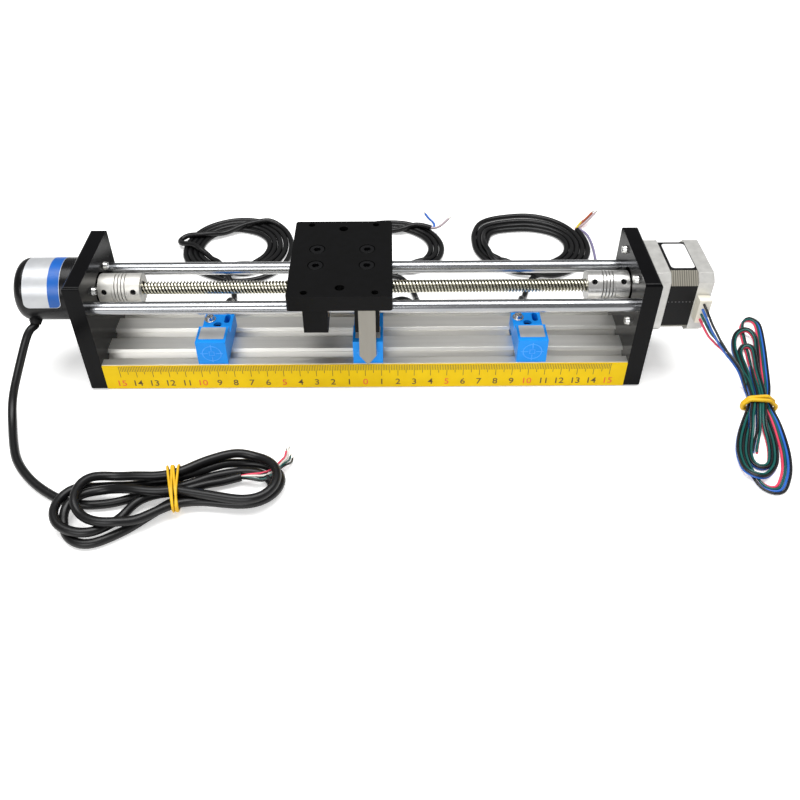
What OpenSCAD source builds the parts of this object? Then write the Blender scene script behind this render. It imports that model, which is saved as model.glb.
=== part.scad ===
// Screw-driven linear module: a carriage on two guide rods over a slotted
// aluminium base, a stepper motor on the right, an encoder on the left and
// three inductive sensors in the base's middle slot. Millimetres, X along
// the screw, Z up, origin at the middle of the base's bottom face.

/* [Base] */
// Length of the base profile between the end plates
base_l = 320; // [290:1:480]
// Side of one profile cell; the base is three cells wide and one high
cell = 20; // [19.6:0.1:20.6]
// Width of the straight mouth of a slot
slot_mouth = 6.2; // [6:0.1:6.6]
// Width of the V groove at the surface
slot_groove = 9.2; // [8.6:0.1:9.4]
// Width of the cavity behind the lips
slot_cavity = 11; // [10.6:0.1:11.4]
// Width of the floor of the cavity
slot_floor = 5.8; // [5.4:0.1:6.2]
// Depth of the lips below the surface
slot_lip = 1.8; // [1.7:0.1:2]
// Depth of the cavity's floor below the surface
slot_depth = 6.1; // [5.9:0.1:6.3]
// Thickness of the webs round the hollows between the cells
web_t = 1.8; // [1.5:0.1:2]
// Thread diameter of the core holes for the end screws
core_d = 5; // [4:0.5:6]

/* [Ruler] */
// Height of the ruler strip on the front face
ruler_h = 18.5; // [14:0.5:19]
// Thickness of the ruler strip
ruler_t = 0.5; // [0.3:0.1:0.8]

/* [End plates] */
// Thickness of each end plate
plate_t = 10; // [9:0.5:14]
// Plate left above the motor's square
plate_margin = 1.5; // [0.5:0.05:4]
// Rounding of the plate's outer edges
plate_r = 2; // [1:0.25:3]

/* [Drive line] */
// Height of the screw and rod axes above the table
axis_h = 56; // [54:0.5:62]
// Outer diameter of the lead screw
screw_d = 8; // [6:0.5:9]
// Diameter of the couplings
coupling_d = 18; // [16:0.5:20]
// Length of a coupling
coupling_l = 25; // [23:0.5:30]
// Gap between a coupling and the end plate
coupling_gap = 0.5; // [0.3:0.1:1.5]
// Length of screw or shaft held in a coupling
engage = 9.5; // [8:0.25:11]
// Axial width of the helical slit
slit_w = 0.5; // [0.4:0.05:0.7]
// Pitch of the helical slit
slit_pitch = 2; // [1.6:0.1:2.4]
// Turns of the helical slit
slit_turns = 4.25; // [3:0.25:4.25]
// Diameter of the grub screws in the couplings
grub_d = 3.4; // [2.6:0.2:3.6]
// Distance of a grub screw from the coupling's end
grub_inset = 3.8; // [3:0.1:5]
// Direction of the left coupling's grub screws above the horizontal
grub_angle_left = 19; // [-30:1:60]
// Direction of the right coupling's grub screws above the horizontal
grub_angle_right = 49; // [-30:1:60]

/* [Guide rods] */
// Diameter of a guide rod
rod_d = 8; // [7:0.5:9]
// Distance between the two rods' axes
rod_spacing = 40; // [38:0.5:42]
// Depth of a rod's seat in the end plate
rod_seat = 5; // [3:0.5:6]

/* [Motor] */
// Side of the motor's square
motor_s = 42.3; // [40:0.1:44]
// Thickness of the front cap
motor_front_t = 8; // [7.5:0.5:10]
// Length of the lamination stack
motor_stack_l = 16; // [14:0.5:30]
// Thickness of the rear cap
motor_rear_t = 9; // [9:0.5:12]
// Corner chamfer of the caps
motor_chamfer = 4.1; // [3:0.1:5]
// Corner chamfer of the lamination stack
stack_chamfer = 6.5; // [4.5:0.1:7]
// Distance between the mounting screws
motor_pitch = 31; // [30.5:0.1:32]
// Diameter of the centring boss
motor_boss_d = 22; // [20:0.5:24]
// Height of the centring boss
motor_boss_h = 2; // [1.5:0.1:3]
// Diameter of the motor shaft
motor_shaft_d = 5; // [4:0.5:6]
// Outer diameter of the motor's bearings
motor_bearing_d = 16; // [14:0.5:18]
// Width of the motor's bearings
motor_bearing_w = 5; // [4:0.5:6]
// Diameter of the rotor
rotor_d = 25.8; // [22:0.2:27]
// Length of the socket and its plug along the rear cap's side
plug_l = 16; // [12:0.5:20]
// Thickness of the socket and its plug
plug_t = 7; // [7:0.2:8.6]

/* [Encoder] */
// Diameter of the encoder
encoder_d = 38; // [37:0.5:42]
// Length of the encoder behind the end plate
encoder_l = 37; // [34:0.5:45]
// Thickness of the encoder's body flange
encoder_body_t = 8; // [7.5:0.5:10]
// Rounding of the cover's rear edge
encoder_edge_r = 6; // [3:0.5:6.5]
// Wall of the cover
encoder_wall = 1.5; // [1.2:0.1:2.2]
// Diameter of the centring hub
encoder_hub_d = 20; // [19:0.5:22]
// Height of the centring hub
encoder_hub_h = 5; // [4.5:0.5:6]
// Diameter of the encoder's shaft
encoder_shaft_d = 6; // [5:0.5:7]
// Bolt circle of the encoder's screws
encoder_pcd = 30; // [29:0.5:31]
// Outer diameter of the encoder's bearings
encoder_bearing_d = 15; // [13:0.5:16]
// Distance of the cable gland from the plate
gland_out = 29; // [24:0.5:31]
// Diameter of the cable gland
gland_d = 7.5; // [7:0.5:9]

/* [Carriage] */
// Place of the carriage along the screw
carriage_x = -13; // [-60:1:60]
// Length of the carriage plate along the screw
table_l = 60; // [56:1:80]
// Width of the carriage plate
table_w = 78; // [74:1:100]
// Thickness of the carriage plate
table_t = 10; // [8:0.5:12]
// Distance of the tapped corner holes from the plate's ends
corner_inset_x = 10; // [6:0.5:14]
// Distance of the tapped corner holes from the plate's sides
corner_inset_y = 4; // [4:0.5:8]
// Thread diameter of the corner holes
corner_d = 4; // [3:0.5:4]
// Diameter of the two holes on the centre line
centre_hole_d = 5.5; // [4.5:0.5:6]
// Distance between the two holes on the centre line
centre_hole_pitch = 61; // [56:0.5:64]
// Thickness of a cross bar along the screw
bar_t = 14.4; // [13:0.2:16]
// Distance between the two cross bars
bar_pitch = 30; // [28:0.5:34]
// Cross bar past each side of the base
bar_overhang = 1; // [0.8:0.1:3]
// Height of a cross bar above the screw's axis
bar_up = 12; // [11.5:0.5:15]
// Height of a cross bar below the screw's axis
bar_down = 10.5; // [9:0.5:12]
// Distance between the two carriage screws of a bar
table_screw_pitch = 16.6; // [16:0.2:18]
// Outer diameter of the slide bushes
bush_d = 12; // [11:0.5:13]
// Body diameter of the lead nut
nut_d = 10.2; // [9.8:0.1:11]
// Flange diameter of the lead nut
nut_flange_d = 22; // [20:0.5:23]
// Flange thickness of the lead nut
nut_flange_t = 3.5; // [3:0.5:4]
// Length of the lead nut
nut_l = 15; // [12:0.5:17]
// Bolt circle of the lead nut
nut_pcd = 16; // [15:0.5:17]

/* [Pointer] */
// Width of the pointer
pointer_w = 10; // [8:0.5:13]
// Thickness of the pointer
pointer_t = 1; // [0.8:0.1:1.5]
// Height of the pointer's tip above the base
pointer_lift = 0.6; // [0.3:0.1:2]
// Length of the pointed end
pointer_taper = 7.4; // [5:0.2:10]

/* [Sensors] */
// Place of the left sensor along the base
sensor_x_left = -92; // [-110:1:-60]
// Place of the middle sensor along the base
sensor_x_middle = 2; // [-20:1:20]
// Place of the right sensor along the base
sensor_x_right = 101; // [60:1:110]
// Width of a sensor
sensor_w = 18; // [17:0.5:20]
// Length of a sensor across the base
sensor_l = 37; // [36:0.5:38]
// Length of the sensor's head
sensor_head_l = 16.5; // [14:0.5:17]
// Height of the sensor's head
sensor_head_h = 17; // [16:0.5:20]
// Height of the sensor's clamping tab
sensor_tab_h = 11; // [9:0.5:12]
// Length of a slot in the tab
sensor_slot_l = 8; // [6:0.5:8]
// Distance between the tab's two slots
sensor_slot_pitch = 10.6; // [10:0.2:11.4]
// Distance from the sensing face to the middle of the slots
sensor_slot_y = 30; // [29.5:0.25:31]

/* [Hidden] */
$fn = 48;
cut = 1;       // how far a cutting tool runs past a face
slip = 0.05;   // radial clearance of a shaft, a rod or a thread in its hole
seat = 0.1;    // clearance of a part dropped into its recess
clear = 0.5;   // clearance of a screw in a through hole
air = 0.3;     // least distance of a rotor from what it turns in

base_w = 3 * cell;
plate_w = base_w + 2 * ruler_t;   // flush with the ruler
end_x = base_l / 2;
plate_h = axis_h + motor_s / 2 + plate_margin;
motor_l = motor_front_t + motor_stack_l + motor_rear_t;
stator_bore = rotor_d + 2 * air;
stator_poles = 8;
pole_angle = 14;       // angle of a pole's neck
pole_tip = 1.2;        // thickness of a pole's tip
winding_gap = 0.25;    // insulation between a winding and its slot
winding_d = stator_bore + 6.5;
rod_tip = 14;          // depth of the tapped hole in a rod's end
base_screw_grip = 11;  // thread of an end screw inside the base
coupling_in = coupling_gap + coupling_l;   // coupling's far end from the plate
screw_l = base_l - 2 * (coupling_in - engage);
shaft_in = coupling_gap + engage;          // motor and encoder shafts inside the plates
slit_l = slit_pitch * slit_turns;
slit_steps = 12;       // flats of the slit in a turn
coupling_mid = coupling_gap + coupling_l / 2;   // coupling's middle from the plate
grub_sink = 1.2;       // grub screw below the coupling's surface

m3 = 3;
m3_head_d = 5.6;
m3_head_h = 2.2;
case_screw_seat = m3_head_h + 0.3;
case_screw_grip = 2.8; // thread of a case screw inside the front cap
nut_head_d = 5;
nut_head_h = 1.8;
m4 = 4;
m4_head_d = 7.6;
m5 = 5;
m5_head_d = 8.5;
m5_head_h = 5;
bore_head_d = m5_head_d + 2 * clear;       // counterbore for a socket head
bore_head_h = m5_head_h + 0.2;

bar_bottom = axis_h - bar_down;
bar_top = axis_h + bar_up;
bar_l = base_w + 2 * bar_overhang;
tap_l = 11;            // depth of the tapped holes for the carriage screws
nut_face = -bar_pitch / 2 + bar_t / 2;     // inner face of the left bar
nut_screw_grip = 4;    // thread of a nut screw in the bar

pointer_top = bar_top - 0.5;
pointer_screw_z = bar_top - 2.7;
pointer_screw_d = 2.5;
pointer_screw_l = 7;
pointer_head_d = 4.4;
pointer_head_h = 1.2;

sensor_slot_w = m3 + 0.4;
sensor_shift = 0.5;     // the clamp screw sits ahead of the slot's middle
sensor_face_y = sensor_shift - sensor_slot_y;
sensor_rear_y = sensor_face_y + sensor_l;
sensor_places = [sensor_x_left, sensor_x_middle, sensor_x_right];
lamp_d = 5;            // well of the sensor's lamp, ahead of the slots
lamp_depth = 2;
lamp_ahead = 5.7;
head_chamfer = 1.2;     // rear upper edge of the head
washer_t = 0.5;
washer_d = 7;
nut_reach = 4.7;       // depth of the slot nut below the base's top
slot_nut_l = 9;
sensor_screw_l = sensor_tab_h + washer_t + nut_reach - clear;
grommet_l = 3;
sensor_cable_d = 4;
sensor_cable_z = cell + 5.5;

socket_depth = 2;      // recess of the socket in the rear cap
socket_wall = 1;
socket_out = 2.4;      // socket proud of the motor's side
plug_out = 3.5;        // plug proud of the socket
plug_face = motor_s / 2 + socket_out + plug_out;
motor_lead_d = 4;

disc_x = 13;           // code disc from the encoder's mounting face
disc_rim = 4.5;        // code disc clear of the cover's outside
board_x = 19;          // circuit board from the encoder's mounting face
encoder_bearing_w = 5;
gland_end = 3;         // gland proud of the encoder's round side
encoder_cable_d = 5;

// Routes of the cords from where they leave their piece to their hank or coil.
encoder_route = [
    [-199, -15.56, 40.44], [-199, -16.36, 39.64], [-200.4, -18.7, 37.1], [-202.7, -23, 31.5],
    [-205, -28, 25], [-207, -33, 18.8], [-208.9, -38.5, 12.6], [-210.2, -45, 7.3], [-209.9, -52.5, 4],
    [-207.8, -61, 2.7], [-204.7, -70, 2.6], [-201, -79, 2.6], [-196.6, -88, 2.6],
    [-190.9, -96, 2.6], [-183.8, -103.5, 2.6], [-175.5, -110.3, 2.6], [-166, -116.3, 2.6],
    [-160, -119, 2.6]];
motor_route = [
    [197.7, -27.05, 56], [197.7, -30, 56], [199.4, -32.8, 53], [203, -34, 47],
    [206.7, -33.4, 42], [210.3, -32.5, 37], [214, -31.4, 32.5], [218, -30.2, 27.3],
    [222.8, -28.9, 21.5], [227.5, -28.4, 15.5], [231, -29.2, 10.5], [233.2, -32, 6.6],
    [234, -36.5, 4], [233.9, -42, 2.7], [233.2, -47, 2.4]];
sensor_route_left = [
    [-92, 10.5, 25.5], [-92, 13.5, 25.5], [-92, 17.8, 24.6], [-91.8, 22.5, 23], [-91.5, 27.5, 22.2],
    [-91.2, 32, 21.2], [-91, 35.8, 18], [-91, 38.3, 13.6], [-91.2, 41, 9], [-91.7, 44.8, 5],
    [-92.6, 50, 2.6], [-93.8, 57, 2.1], [-95.6, 66, 2.1], [-98.2, 75, 2.1], [-102.5, 84, 2.1]];
sensor_route_middle = [
    [2, 10.5, 25.5], [2, 13.5, 25.5], [4, 17.8, 24.4], [8, 22, 22.9], [13, 25.8, 22.2],
    [18.5, 29.5, 22], [23.5, 33, 20.6], [27.4, 36.2, 17], [30.2, 39, 12.4], [32.4, 42.4, 7.6],
    [33.7, 47.5, 3.8], [33.9, 54, 2.2], [32.4, 63, 2.1], [28.8, 73, 2.1], [22, 83, 2.1]];
sensor_route_right = [
    [101, 10.5, 25.5], [101, 13.5, 25.5], [101.2, 17.8, 24.6], [101.6, 22.5, 23], [102.2, 27.5, 22.2],
    [102.8, 32, 21.2], [103.4, 35.8, 18], [104, 38.3, 13.6], [104.8, 41, 9], [106, 44.8, 5],
    [107.6, 50, 2.6], [109.6, 57, 2.1], [112.4, 66, 2.1], [116, 75, 2.1], [121.5, 84, 2.1]];
coil_centres = [[-100, 120], [14, 120], [124, 121]];
coil_inner = 25;
coil_outer = 41;
coil_h = 11;
encoder_hank_ends = [[-143, -127], [-101, -115], [-62, -109]];
encoder_hank_r = [20, 12, 20];
encoder_hank_h = 11;
encoder_band_angle = 13;
motor_hank_ends = [[257, 23], [246, -4], [237.5, -49], [228, -87], [222, -106]];
motor_hank_r = [9.5, 10, 8, 15, 12];
motor_hank_h = 9;
motor_band_angle = 78;
band_w = 6;
band_t = 1;

// ---- Placing ----

module along_x() rotate([0, 90, 0]) children();

// Cylinder along x that starts at x
module turned(x, l, d) translate([x, 0, 0]) along_x() cylinder(d = d, h = l);

// Local x runs outwards from the inner face of an end plate
module at_right() translate([end_x, 0, 0]) children();
module at_left() mirror([1, 0, 0]) at_right() children();

module on_axis() translate([0, 0, axis_h]) children();

module square_of(pitch) for (y = [-1, 1], z = [-1, 1])
    translate([0, y * pitch / 2, z * pitch / 2]) children();

// Three places on the encoder's bolt circle, the first straight below the axis
module encoder_bolts() for (a = [0, 120, 240]) rotate([a, 0, 0])
    translate([0, 0, -encoder_pcd / 2]) children();

module at_rods() for (y = [-1, 1]) translate([0, y * rod_spacing / 2, axis_h]) children();

module at_base_cores() for (i = [-1:1]) translate([0, i * cell, cell / 2]) children();

// ---- Profiles ----

module rounded_rect(size, r) {
    square([size[0] - 2 * r, size[1]], center = true);
    square([size[0], size[1] - 2 * r], center = true);
    for (x = [-1, 1], y = [-1, 1])
        translate([x * (size[0] / 2 - r), y * (size[1] / 2 - r)]) circle(r);
}

// A slot's outline along x, its ends fully round
module stadium(size) {
    r = size[1] / 2;
    for (s = [-1, 1]) translate([s * (size[0] / 2 - r), 0]) circle(r);
    square([size[0] - 2 * r, size[1]], center = true);
}

module chamfered_square(s, c) {
    h = s / 2;
    polygon([for (a = [0:3], q = [[h, c - h], [h, h - c]])
        [q[0] * cos(90 * a) - q[1] * sin(90 * a), q[0] * sin(90 * a) + q[1] * cos(90 * a)]]);
}

// ---- Fasteners; local z is the screw's axis, the head sits above z = 0 ----

module socket_screw(d, l, head_d, head_h) difference() {
    union() {
        cylinder(d = head_d, h = head_h);
        translate([0, 0, -l]) cylinder(d = d - 2 * slip, h = l + cut / 2);
    }
    translate([0, 0, head_h / 2]) cylinder(d = 0.92 * d, h = head_h, $fn = 6);
}

module pan_screw(d, l, head_d, head_h) difference() {
    union() {
        cylinder(d1 = head_d, d2 = 0.78 * head_d, h = head_h);
        translate([0, 0, -l]) cylinder(d = d - 2 * slip, h = l + cut / 2);
    }
    for (a = [0, 90]) rotate(a) translate([-0.3 * head_d, -0.3, 0.45 * head_h])
        cube([0.6 * head_d, 0.6, head_h]);
}

module flat_screw(d, l, head_d) difference() {
    h = (head_d - d) / 2;
    union() {
        translate([0, 0, -h]) cylinder(d1 = d - 2 * slip, d2 = head_d, h = h);
        translate([0, 0, -l]) cylinder(d = d - 2 * slip, h = l - h / 2);
    }
    translate([0, 0, -0.7 * h]) cylinder(d = 0.6 * d, h = h, $fn = 6);
}

// ---- Base ----

// Cuts one slot down from the x axis
module slot_cut() for (s = [0, 1]) mirror([s, 0])
    polygon([each slot_side, [-cut / 10, -slot_depth], [-cut / 10, cut]]);

slot_side = [
    [slot_groove / 2, cut], [slot_groove / 2, 0],
    [slot_mouth / 2, -(slot_groove - slot_mouth) / 2], [slot_mouth / 2, -slot_lip],
    [slot_cavity / 2, -slot_lip], [slot_cavity / 2, -slot_depth + (slot_cavity - slot_floor) / 2],
    [slot_floor / 2, -slot_depth]];

// Hollow between two cells, pointed towards their cores
module cell_hollow() {
    w = cell / 2 - slot_cavity / 2 - web_t;
    h = cell / 2 - web_t;
    tip = slot_depth - web_t;
    square([2 * w, 2 * h], center = true);
    for (s = [0, 1]) mirror([0, s])
        polygon([[-tip, -cut / 10], [-tip, w / 2], [0, tip + w / 2], [tip, w / 2], [tip, -cut / 10]]);
}

module base_extrusion() color("gainsboro") rotate([90, 0, 90]) linear_extrude(base_l, center = true)
    translate([0, cell / 2]) difference() {
        square([base_w, cell], center = true);
        for (i = [-1:1]) translate([i * cell, 0]) {
            circle(d = core_d);
            for (a = [0, 180]) rotate(a) translate([0, cell / 2]) slot_cut();
        }
        for (s = [-1, 1]) translate([s * base_w / 2, 0]) rotate(-90 * s) slot_cut();
        for (s = [-1, 1]) translate([s * cell / 2, 0]) cell_hollow();
    }

module ruler_strip() color("gold") translate([-end_x, -base_w / 2 - ruler_t, (cell - ruler_h) * 0.6])
    cube([base_l, ruler_t, ruler_h]);

// ---- End plates and rods ----

module plate_blank() translate([0, 0, plate_h / 2]) intersection() {
    rotate([90, 0, 90]) linear_extrude(plate_t) rounded_rect([plate_w, plate_h], plate_r);
    rotate([90, 0, 0]) linear_extrude(plate_w + 2 * cut, center = true)
        rounded_rect([2 * plate_t, plate_h], plate_r);
}

// Children are cut from the plate too
module end_plate(boss_d) difference() {
    sink = (m4_head_d - m4) / 2 + seat;
    plate_blank();
    on_axis() turned(-cut, plate_t + 2 * cut, boss_d + 2 * seat);
    at_rods() {
        turned(-cut, rod_seat + cut, rod_d + 2 * slip);
        turned(0, plate_t + cut, m4 + clear);
        translate([plate_t - sink, 0, 0]) along_x()
            cylinder(d1 = m4, d2 = m4 + 2 * (sink + cut), h = sink + cut);
    }
    at_base_cores() {
        turned(-cut, plate_t + 2 * cut, core_d + clear);
        turned(plate_t - bore_head_h, bore_head_h + cut, bore_head_d);
    }
    children();
}

module end_plate_right() color("#151515") at_right() end_plate(motor_boss_d)
    on_axis() square_of(motor_pitch) turned(-cut, plate_t + 2 * cut, m3 + clear);

module end_plate_left() color("#151515") at_left() end_plate(encoder_hub_d)
    on_axis() encoder_bolts() turned(-cut, plate_t + 2 * cut, m3 + clear);

module guide_rod(side) color("silver") translate([0, side * rod_spacing / 2, axis_h]) difference() {
    turned(-end_x - rod_seat, base_l + 2 * rod_seat, rod_d);
    for (s = [0, 1]) mirror([s, 0, 0]) turned(end_x + rod_seat - rod_tip, rod_tip + cut, m4);
}

module both_ends() {
    at_right() children();
    at_left() children();
}

module base_screws() color("#2a2a2a") both_ends() at_base_cores()
    translate([plate_t - bore_head_h, 0, 0]) along_x()
        socket_screw(core_d, plate_t - bore_head_h + base_screw_grip, m5_head_d, m5_head_h);

module rod_screws() color("#2a2a2a") both_ends() at_rods() translate([plate_t, 0, 0]) along_x()
    flat_screw(m4, plate_t - rod_seat + rod_tip - 4, m4_head_d);

// ---- Motor; local x runs outwards from the plate's inner face ----

module motor_cap(t) rotate([90, 0, 90]) linear_extrude(t) chamfered_square(motor_s, motor_chamfer);

module motor_front_cap() color("silver") at_right() on_axis() translate([plate_t, 0, 0]) difference() {
    union() {
        motor_cap(motor_front_t);
        turned(-motor_boss_h, motor_boss_h + cut, motor_boss_d);
    }
    turned(-motor_boss_h - cut, motor_front_t + motor_boss_h + 2 * cut, motor_shaft_d + 2);
    turned(motor_front_t - motor_bearing_w - cut, motor_bearing_w + 2 * cut, motor_bearing_d + 2 * slip);
    square_of(motor_pitch) turned(-cut, motor_front_t + 2 * cut, m3 + slip);
}

// One winding slot between two poles, drawn in by the gap all round
module winding_space(gap) {
    a = 180 / stator_poles - pole_angle / 2;
    r1 = stator_bore / 2 + pole_tip + gap;
    r2 = winding_d / 2 - gap;
    polygon([for (q = [[r1, -1], [r2, -1], [r2, 1], [r1, 1]])
        [q[0] * cos(a), q[1] * (q[0] * sin(a) - gap)]]);
}

module winding_spaces(gap) for (i = [0:stator_poles - 1])
    rotate(360 / stator_poles * (i + 0.5)) winding_space(gap);

module motor_stack() color("#1c1c1c") at_right() on_axis() translate([plate_t + motor_front_t, 0, 0])
    rotate([90, 0, 90]) linear_extrude(motor_stack_l) difference() {
        chamfered_square(motor_s, stack_chamfer);
        circle(d = stator_bore);
        winding_spaces(0);
        for (y = [-1, 1], z = [-1, 1]) translate([y, z] * motor_pitch / 2) circle(d = m3 + clear);
    }

module motor_windings() color("#b5651d") at_right() on_axis() translate([plate_t + motor_front_t, 0, 0])
    rotate([90, 0, 90]) linear_extrude(motor_stack_l) winding_spaces(winding_gap);

module motor_rear_cap() color("silver") at_right() on_axis()
    translate([plate_t + motor_front_t + motor_stack_l, 0, 0]) difference() {
        motor_cap(motor_rear_t);
        turned(-cut, motor_bearing_w + cut, motor_bearing_d + 2 * slip);
        turned(-cut, motor_bearing_w + 2 + cut, motor_shaft_d + 2);
        square_of(motor_pitch) {
            turned(-cut, motor_rear_t + 2 * cut, m3 + clear);
            turned(motor_rear_t - case_screw_seat, case_screw_seat + cut, m3_head_d + clear);
        }
        translate([(motor_rear_t - plug_t) / 2 - seat, -motor_s / 2 - cut, -plug_l / 2 - seat])
            cube([plug_t + 2 * seat, socket_depth + cut, plug_l + 2 * seat]);
    }

module motor_bearings() color("silver") at_right() on_axis()
    for (x = [plate_t + motor_front_t - motor_bearing_w, plate_t + motor_front_t + motor_stack_l])
        translate([x, 0, 0]) along_x() ring(motor_bearing_d, motor_shaft_d + 2 * slip, motor_bearing_w);

module ring(outer, inner, h) difference() {
    cylinder(d = outer, h = h);
    translate([0, 0, -cut]) cylinder(d = inner, h = h + 2 * cut);
}

module motor_rotor() color("dimgray") at_right() on_axis() {
    stack_x = plate_t + motor_front_t;
    union() {
        turned(-shaft_in, shaft_in + stack_x + motor_stack_l + motor_bearing_w + cut, motor_shaft_d);
        turned(stack_x + 2, motor_stack_l - 4, rotor_d);
    }
}

module motor_mount_screws() color("silver") at_right() on_axis() square_of(motor_pitch)
    rotate([0, -90, 0]) pan_screw(m3, plate_t + 4.5, m3_head_d, m3_head_h);

module motor_case_screws() color("#303030") at_right() on_axis() square_of(motor_pitch)
    translate([plate_t + motor_l - case_screw_seat, 0, 0]) along_x()
        pan_screw(m3, motor_stack_l + motor_rear_t - case_screw_seat + case_screw_grip, m3_head_d, m3_head_h);

module at_socket() at_right() on_axis()
    translate([plate_t + motor_l - motor_rear_t / 2, -motor_s / 2, 0]) children();

module motor_socket() color("ivory") at_socket() difference() {
    translate([-plug_t / 2, -socket_out, -plug_l / 2]) cube([plug_t, socket_out + socket_depth, plug_l]);
    translate([-plug_t / 2 + socket_wall, -socket_out - cut, -plug_l / 2 + socket_wall])
        cube([plug_t - 2 * socket_wall, socket_out + cut, plug_l - 2 * socket_wall]);
}

module motor_plug() color("ivory") at_socket() {
    core = socket_wall + seat;
    translate([-plug_t / 2 + core, -socket_out - cut, -plug_l / 2 + core])
        cube([plug_t - 2 * core, socket_out + cut - seat, plug_l - 2 * core]);
    translate([-plug_t / 2, -socket_out - plug_out, -plug_l / 2]) cube([plug_t, plug_out, plug_l]);
}

// ---- Encoder; local x runs outwards from the plate's inner face ----

module encoder_body() color("#202020") at_left() on_axis() translate([plate_t, 0, 0]) difference() {
    union() {
        turned(0, encoder_body_t, encoder_d);
        turned(-encoder_hub_h, encoder_hub_h + cut, encoder_hub_d);
    }
    turned(-encoder_hub_h - cut, encoder_body_t + encoder_hub_h + 2 * cut, encoder_shaft_d + 2);
    turned(-encoder_hub_h + 1, encoder_body_t + encoder_hub_h, encoder_bearing_d + 2 * slip);
    encoder_bolts() turned(-cut, encoder_body_t - 1.5 + cut, m3 + slip);
}

module cover_profile(grow, l) {
    r = encoder_edge_r - grow;
    square([encoder_d / 2 - grow - r, l - grow]);
    square([encoder_d / 2 - grow, l - grow - r]);
    translate([encoder_d / 2 - grow - r, l - grow - r]) circle(r);
}

module at_gland() on_axis() translate([plate_t + gland_out, 0, 0]) rotate([135, 0, 0]) children();

module encoder_cover() color("#202020") at_left() difference() {
    on_axis() translate([plate_t + encoder_body_t, 0, 0]) along_x() rotate_extrude() difference() {
        cover_profile(0, encoder_l - encoder_body_t);
        translate([0, -cut]) cover_profile(encoder_wall, encoder_l - encoder_body_t + cut);
    }
    at_gland() translate([0, 0, encoder_d / 2 - 3 * encoder_wall])
        cylinder(d = gland_d + 2 * seat, h = 5 * encoder_wall);
}

module encoder_gland() color("#1a1a1a") at_left() at_gland() translate([0, 0, encoder_d / 2]) {
    translate([0, 0, -encoder_wall]) cylinder(d = gland_d, h = encoder_wall + gland_end / 3);
    cylinder(d1 = gland_d, d2 = encoder_cable_d + 1, h = gland_end);
}

module encoder_bearings() color("silver") at_left() on_axis()
    for (x = [1 - encoder_hub_h, encoder_body_t - encoder_bearing_w]) translate([plate_t + x, 0, 0])
        along_x() ring(encoder_bearing_d, encoder_shaft_d + 2 * slip, encoder_bearing_w);

module encoder_shaft() color("silver") at_left() on_axis()
    turned(-shaft_in, shaft_in + plate_t + encoder_l - encoder_wall - 4, encoder_shaft_d);

module encoder_disc() color("gray") at_left() on_axis() translate([plate_t + disc_x, 0, 0]) along_x() {
    ring(encoder_d - 2 * disc_rim, encoder_shaft_d + 2 * slip, 1);
    ring(encoder_shaft_d + 5, encoder_shaft_d + 2 * slip, 4);
}

module encoder_board() color("darkgreen") at_left() on_axis() translate([plate_t + board_x, 0, 0]) along_x()
    ring(encoder_d - 2 * encoder_wall - 2 * seat, encoder_shaft_d + 4, 1.6);

module encoder_screws() color("silver") at_left() on_axis() encoder_bolts()
    rotate([0, -90, 0]) pan_screw(m3, plate_t + 5, m3_head_d, m3_head_h);

// ---- Lead screw and couplings ----

module lead_screw() color("silver") on_axis() turned(-screw_l / 2, screw_l, screw_d);

// Local x points from the coupling's middle to the end plate. Each end has a grub screw
// in the direction of the angle and one a quarter turn below it.
module grub_places(angle, ends = [-1, 1]) for (s = ends, a = [0, -90]) rotate([-angle - a, 0, 0])
    translate([s * (coupling_l / 2 - grub_inset), 0, 0]) rotate([90, 0, 0]) children();

module coupling(shaft_d, angle) {
    relief = max(screw_d, shaft_d) + 1.5;
    difference() {
        turned(-coupling_l / 2, coupling_l, coupling_d);
        turned(-coupling_l / 2 - cut, coupling_l / 2 + cut, screw_d + 2 * slip);
        turned(0, coupling_l / 2 + cut, shaft_d + 2 * slip);
        turned(-slit_l / 2, slit_l, relief);
        grub_places(angle) cylinder(d = grub_d + 2 * slip, h = coupling_d);
        along_x() linear_extrude(slit_l, center = true, twist = 360 * slit_turns,
            slices = slit_steps * slit_turns) slit_wedge();
    }
}

// Wedge from the axis; its angle over a full turn is the slit's width over its pitch
module slit_wedge() {
    a = 180 * slit_w / slit_pitch;
    r = coupling_d;
    polygon([[0, 0], [r * cos(a), -r * sin(a)], [r, 0], [r * cos(a), r * sin(a)]]);
}

module coupling_right() color("silver") on_axis() translate([end_x - coupling_mid, 0, 0])
    coupling(motor_shaft_d, grub_angle_right);

module coupling_left() color("lightgray") on_axis() mirror([1, 0, 0]) translate([end_x - coupling_mid, 0, 0])
    coupling(encoder_shaft_d, grub_angle_left);

// A grub screw from just above the shaft to a little below the coupling's surface
module grub(shaft_d) difference() {
    low = shaft_d / 2 + 2 * slip;
    top = coupling_d / 2 - grub_sink;
    translate([0, 0, low]) cylinder(d = grub_d, h = top - low);
    translate([0, 0, top - grub_d / 2]) cylinder(d = grub_d / 2, h = grub_d, $fn = 6);
}

module coupling_grubs(shaft_d, angle) {
    grub_places(angle, [-1]) grub(screw_d);
    grub_places(angle, [1]) grub(shaft_d);
}

module coupling_screws() color("#202020") on_axis() {
    translate([end_x - coupling_mid, 0, 0]) coupling_grubs(motor_shaft_d, grub_angle_right);
    mirror([1, 0, 0]) translate([end_x - coupling_mid, 0, 0])
        coupling_grubs(encoder_shaft_d, grub_angle_left);
}

// ---- Carriage; local x is measured from the carriage's middle ----

module at_carriage() translate([carriage_x, 0, 0]) children();

module at_table_screws() for (x = [-1, 1], y = [-1, 1])
    translate([x * bar_pitch / 2, y * table_screw_pitch / 2, bar_top + table_t]) children();

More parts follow.
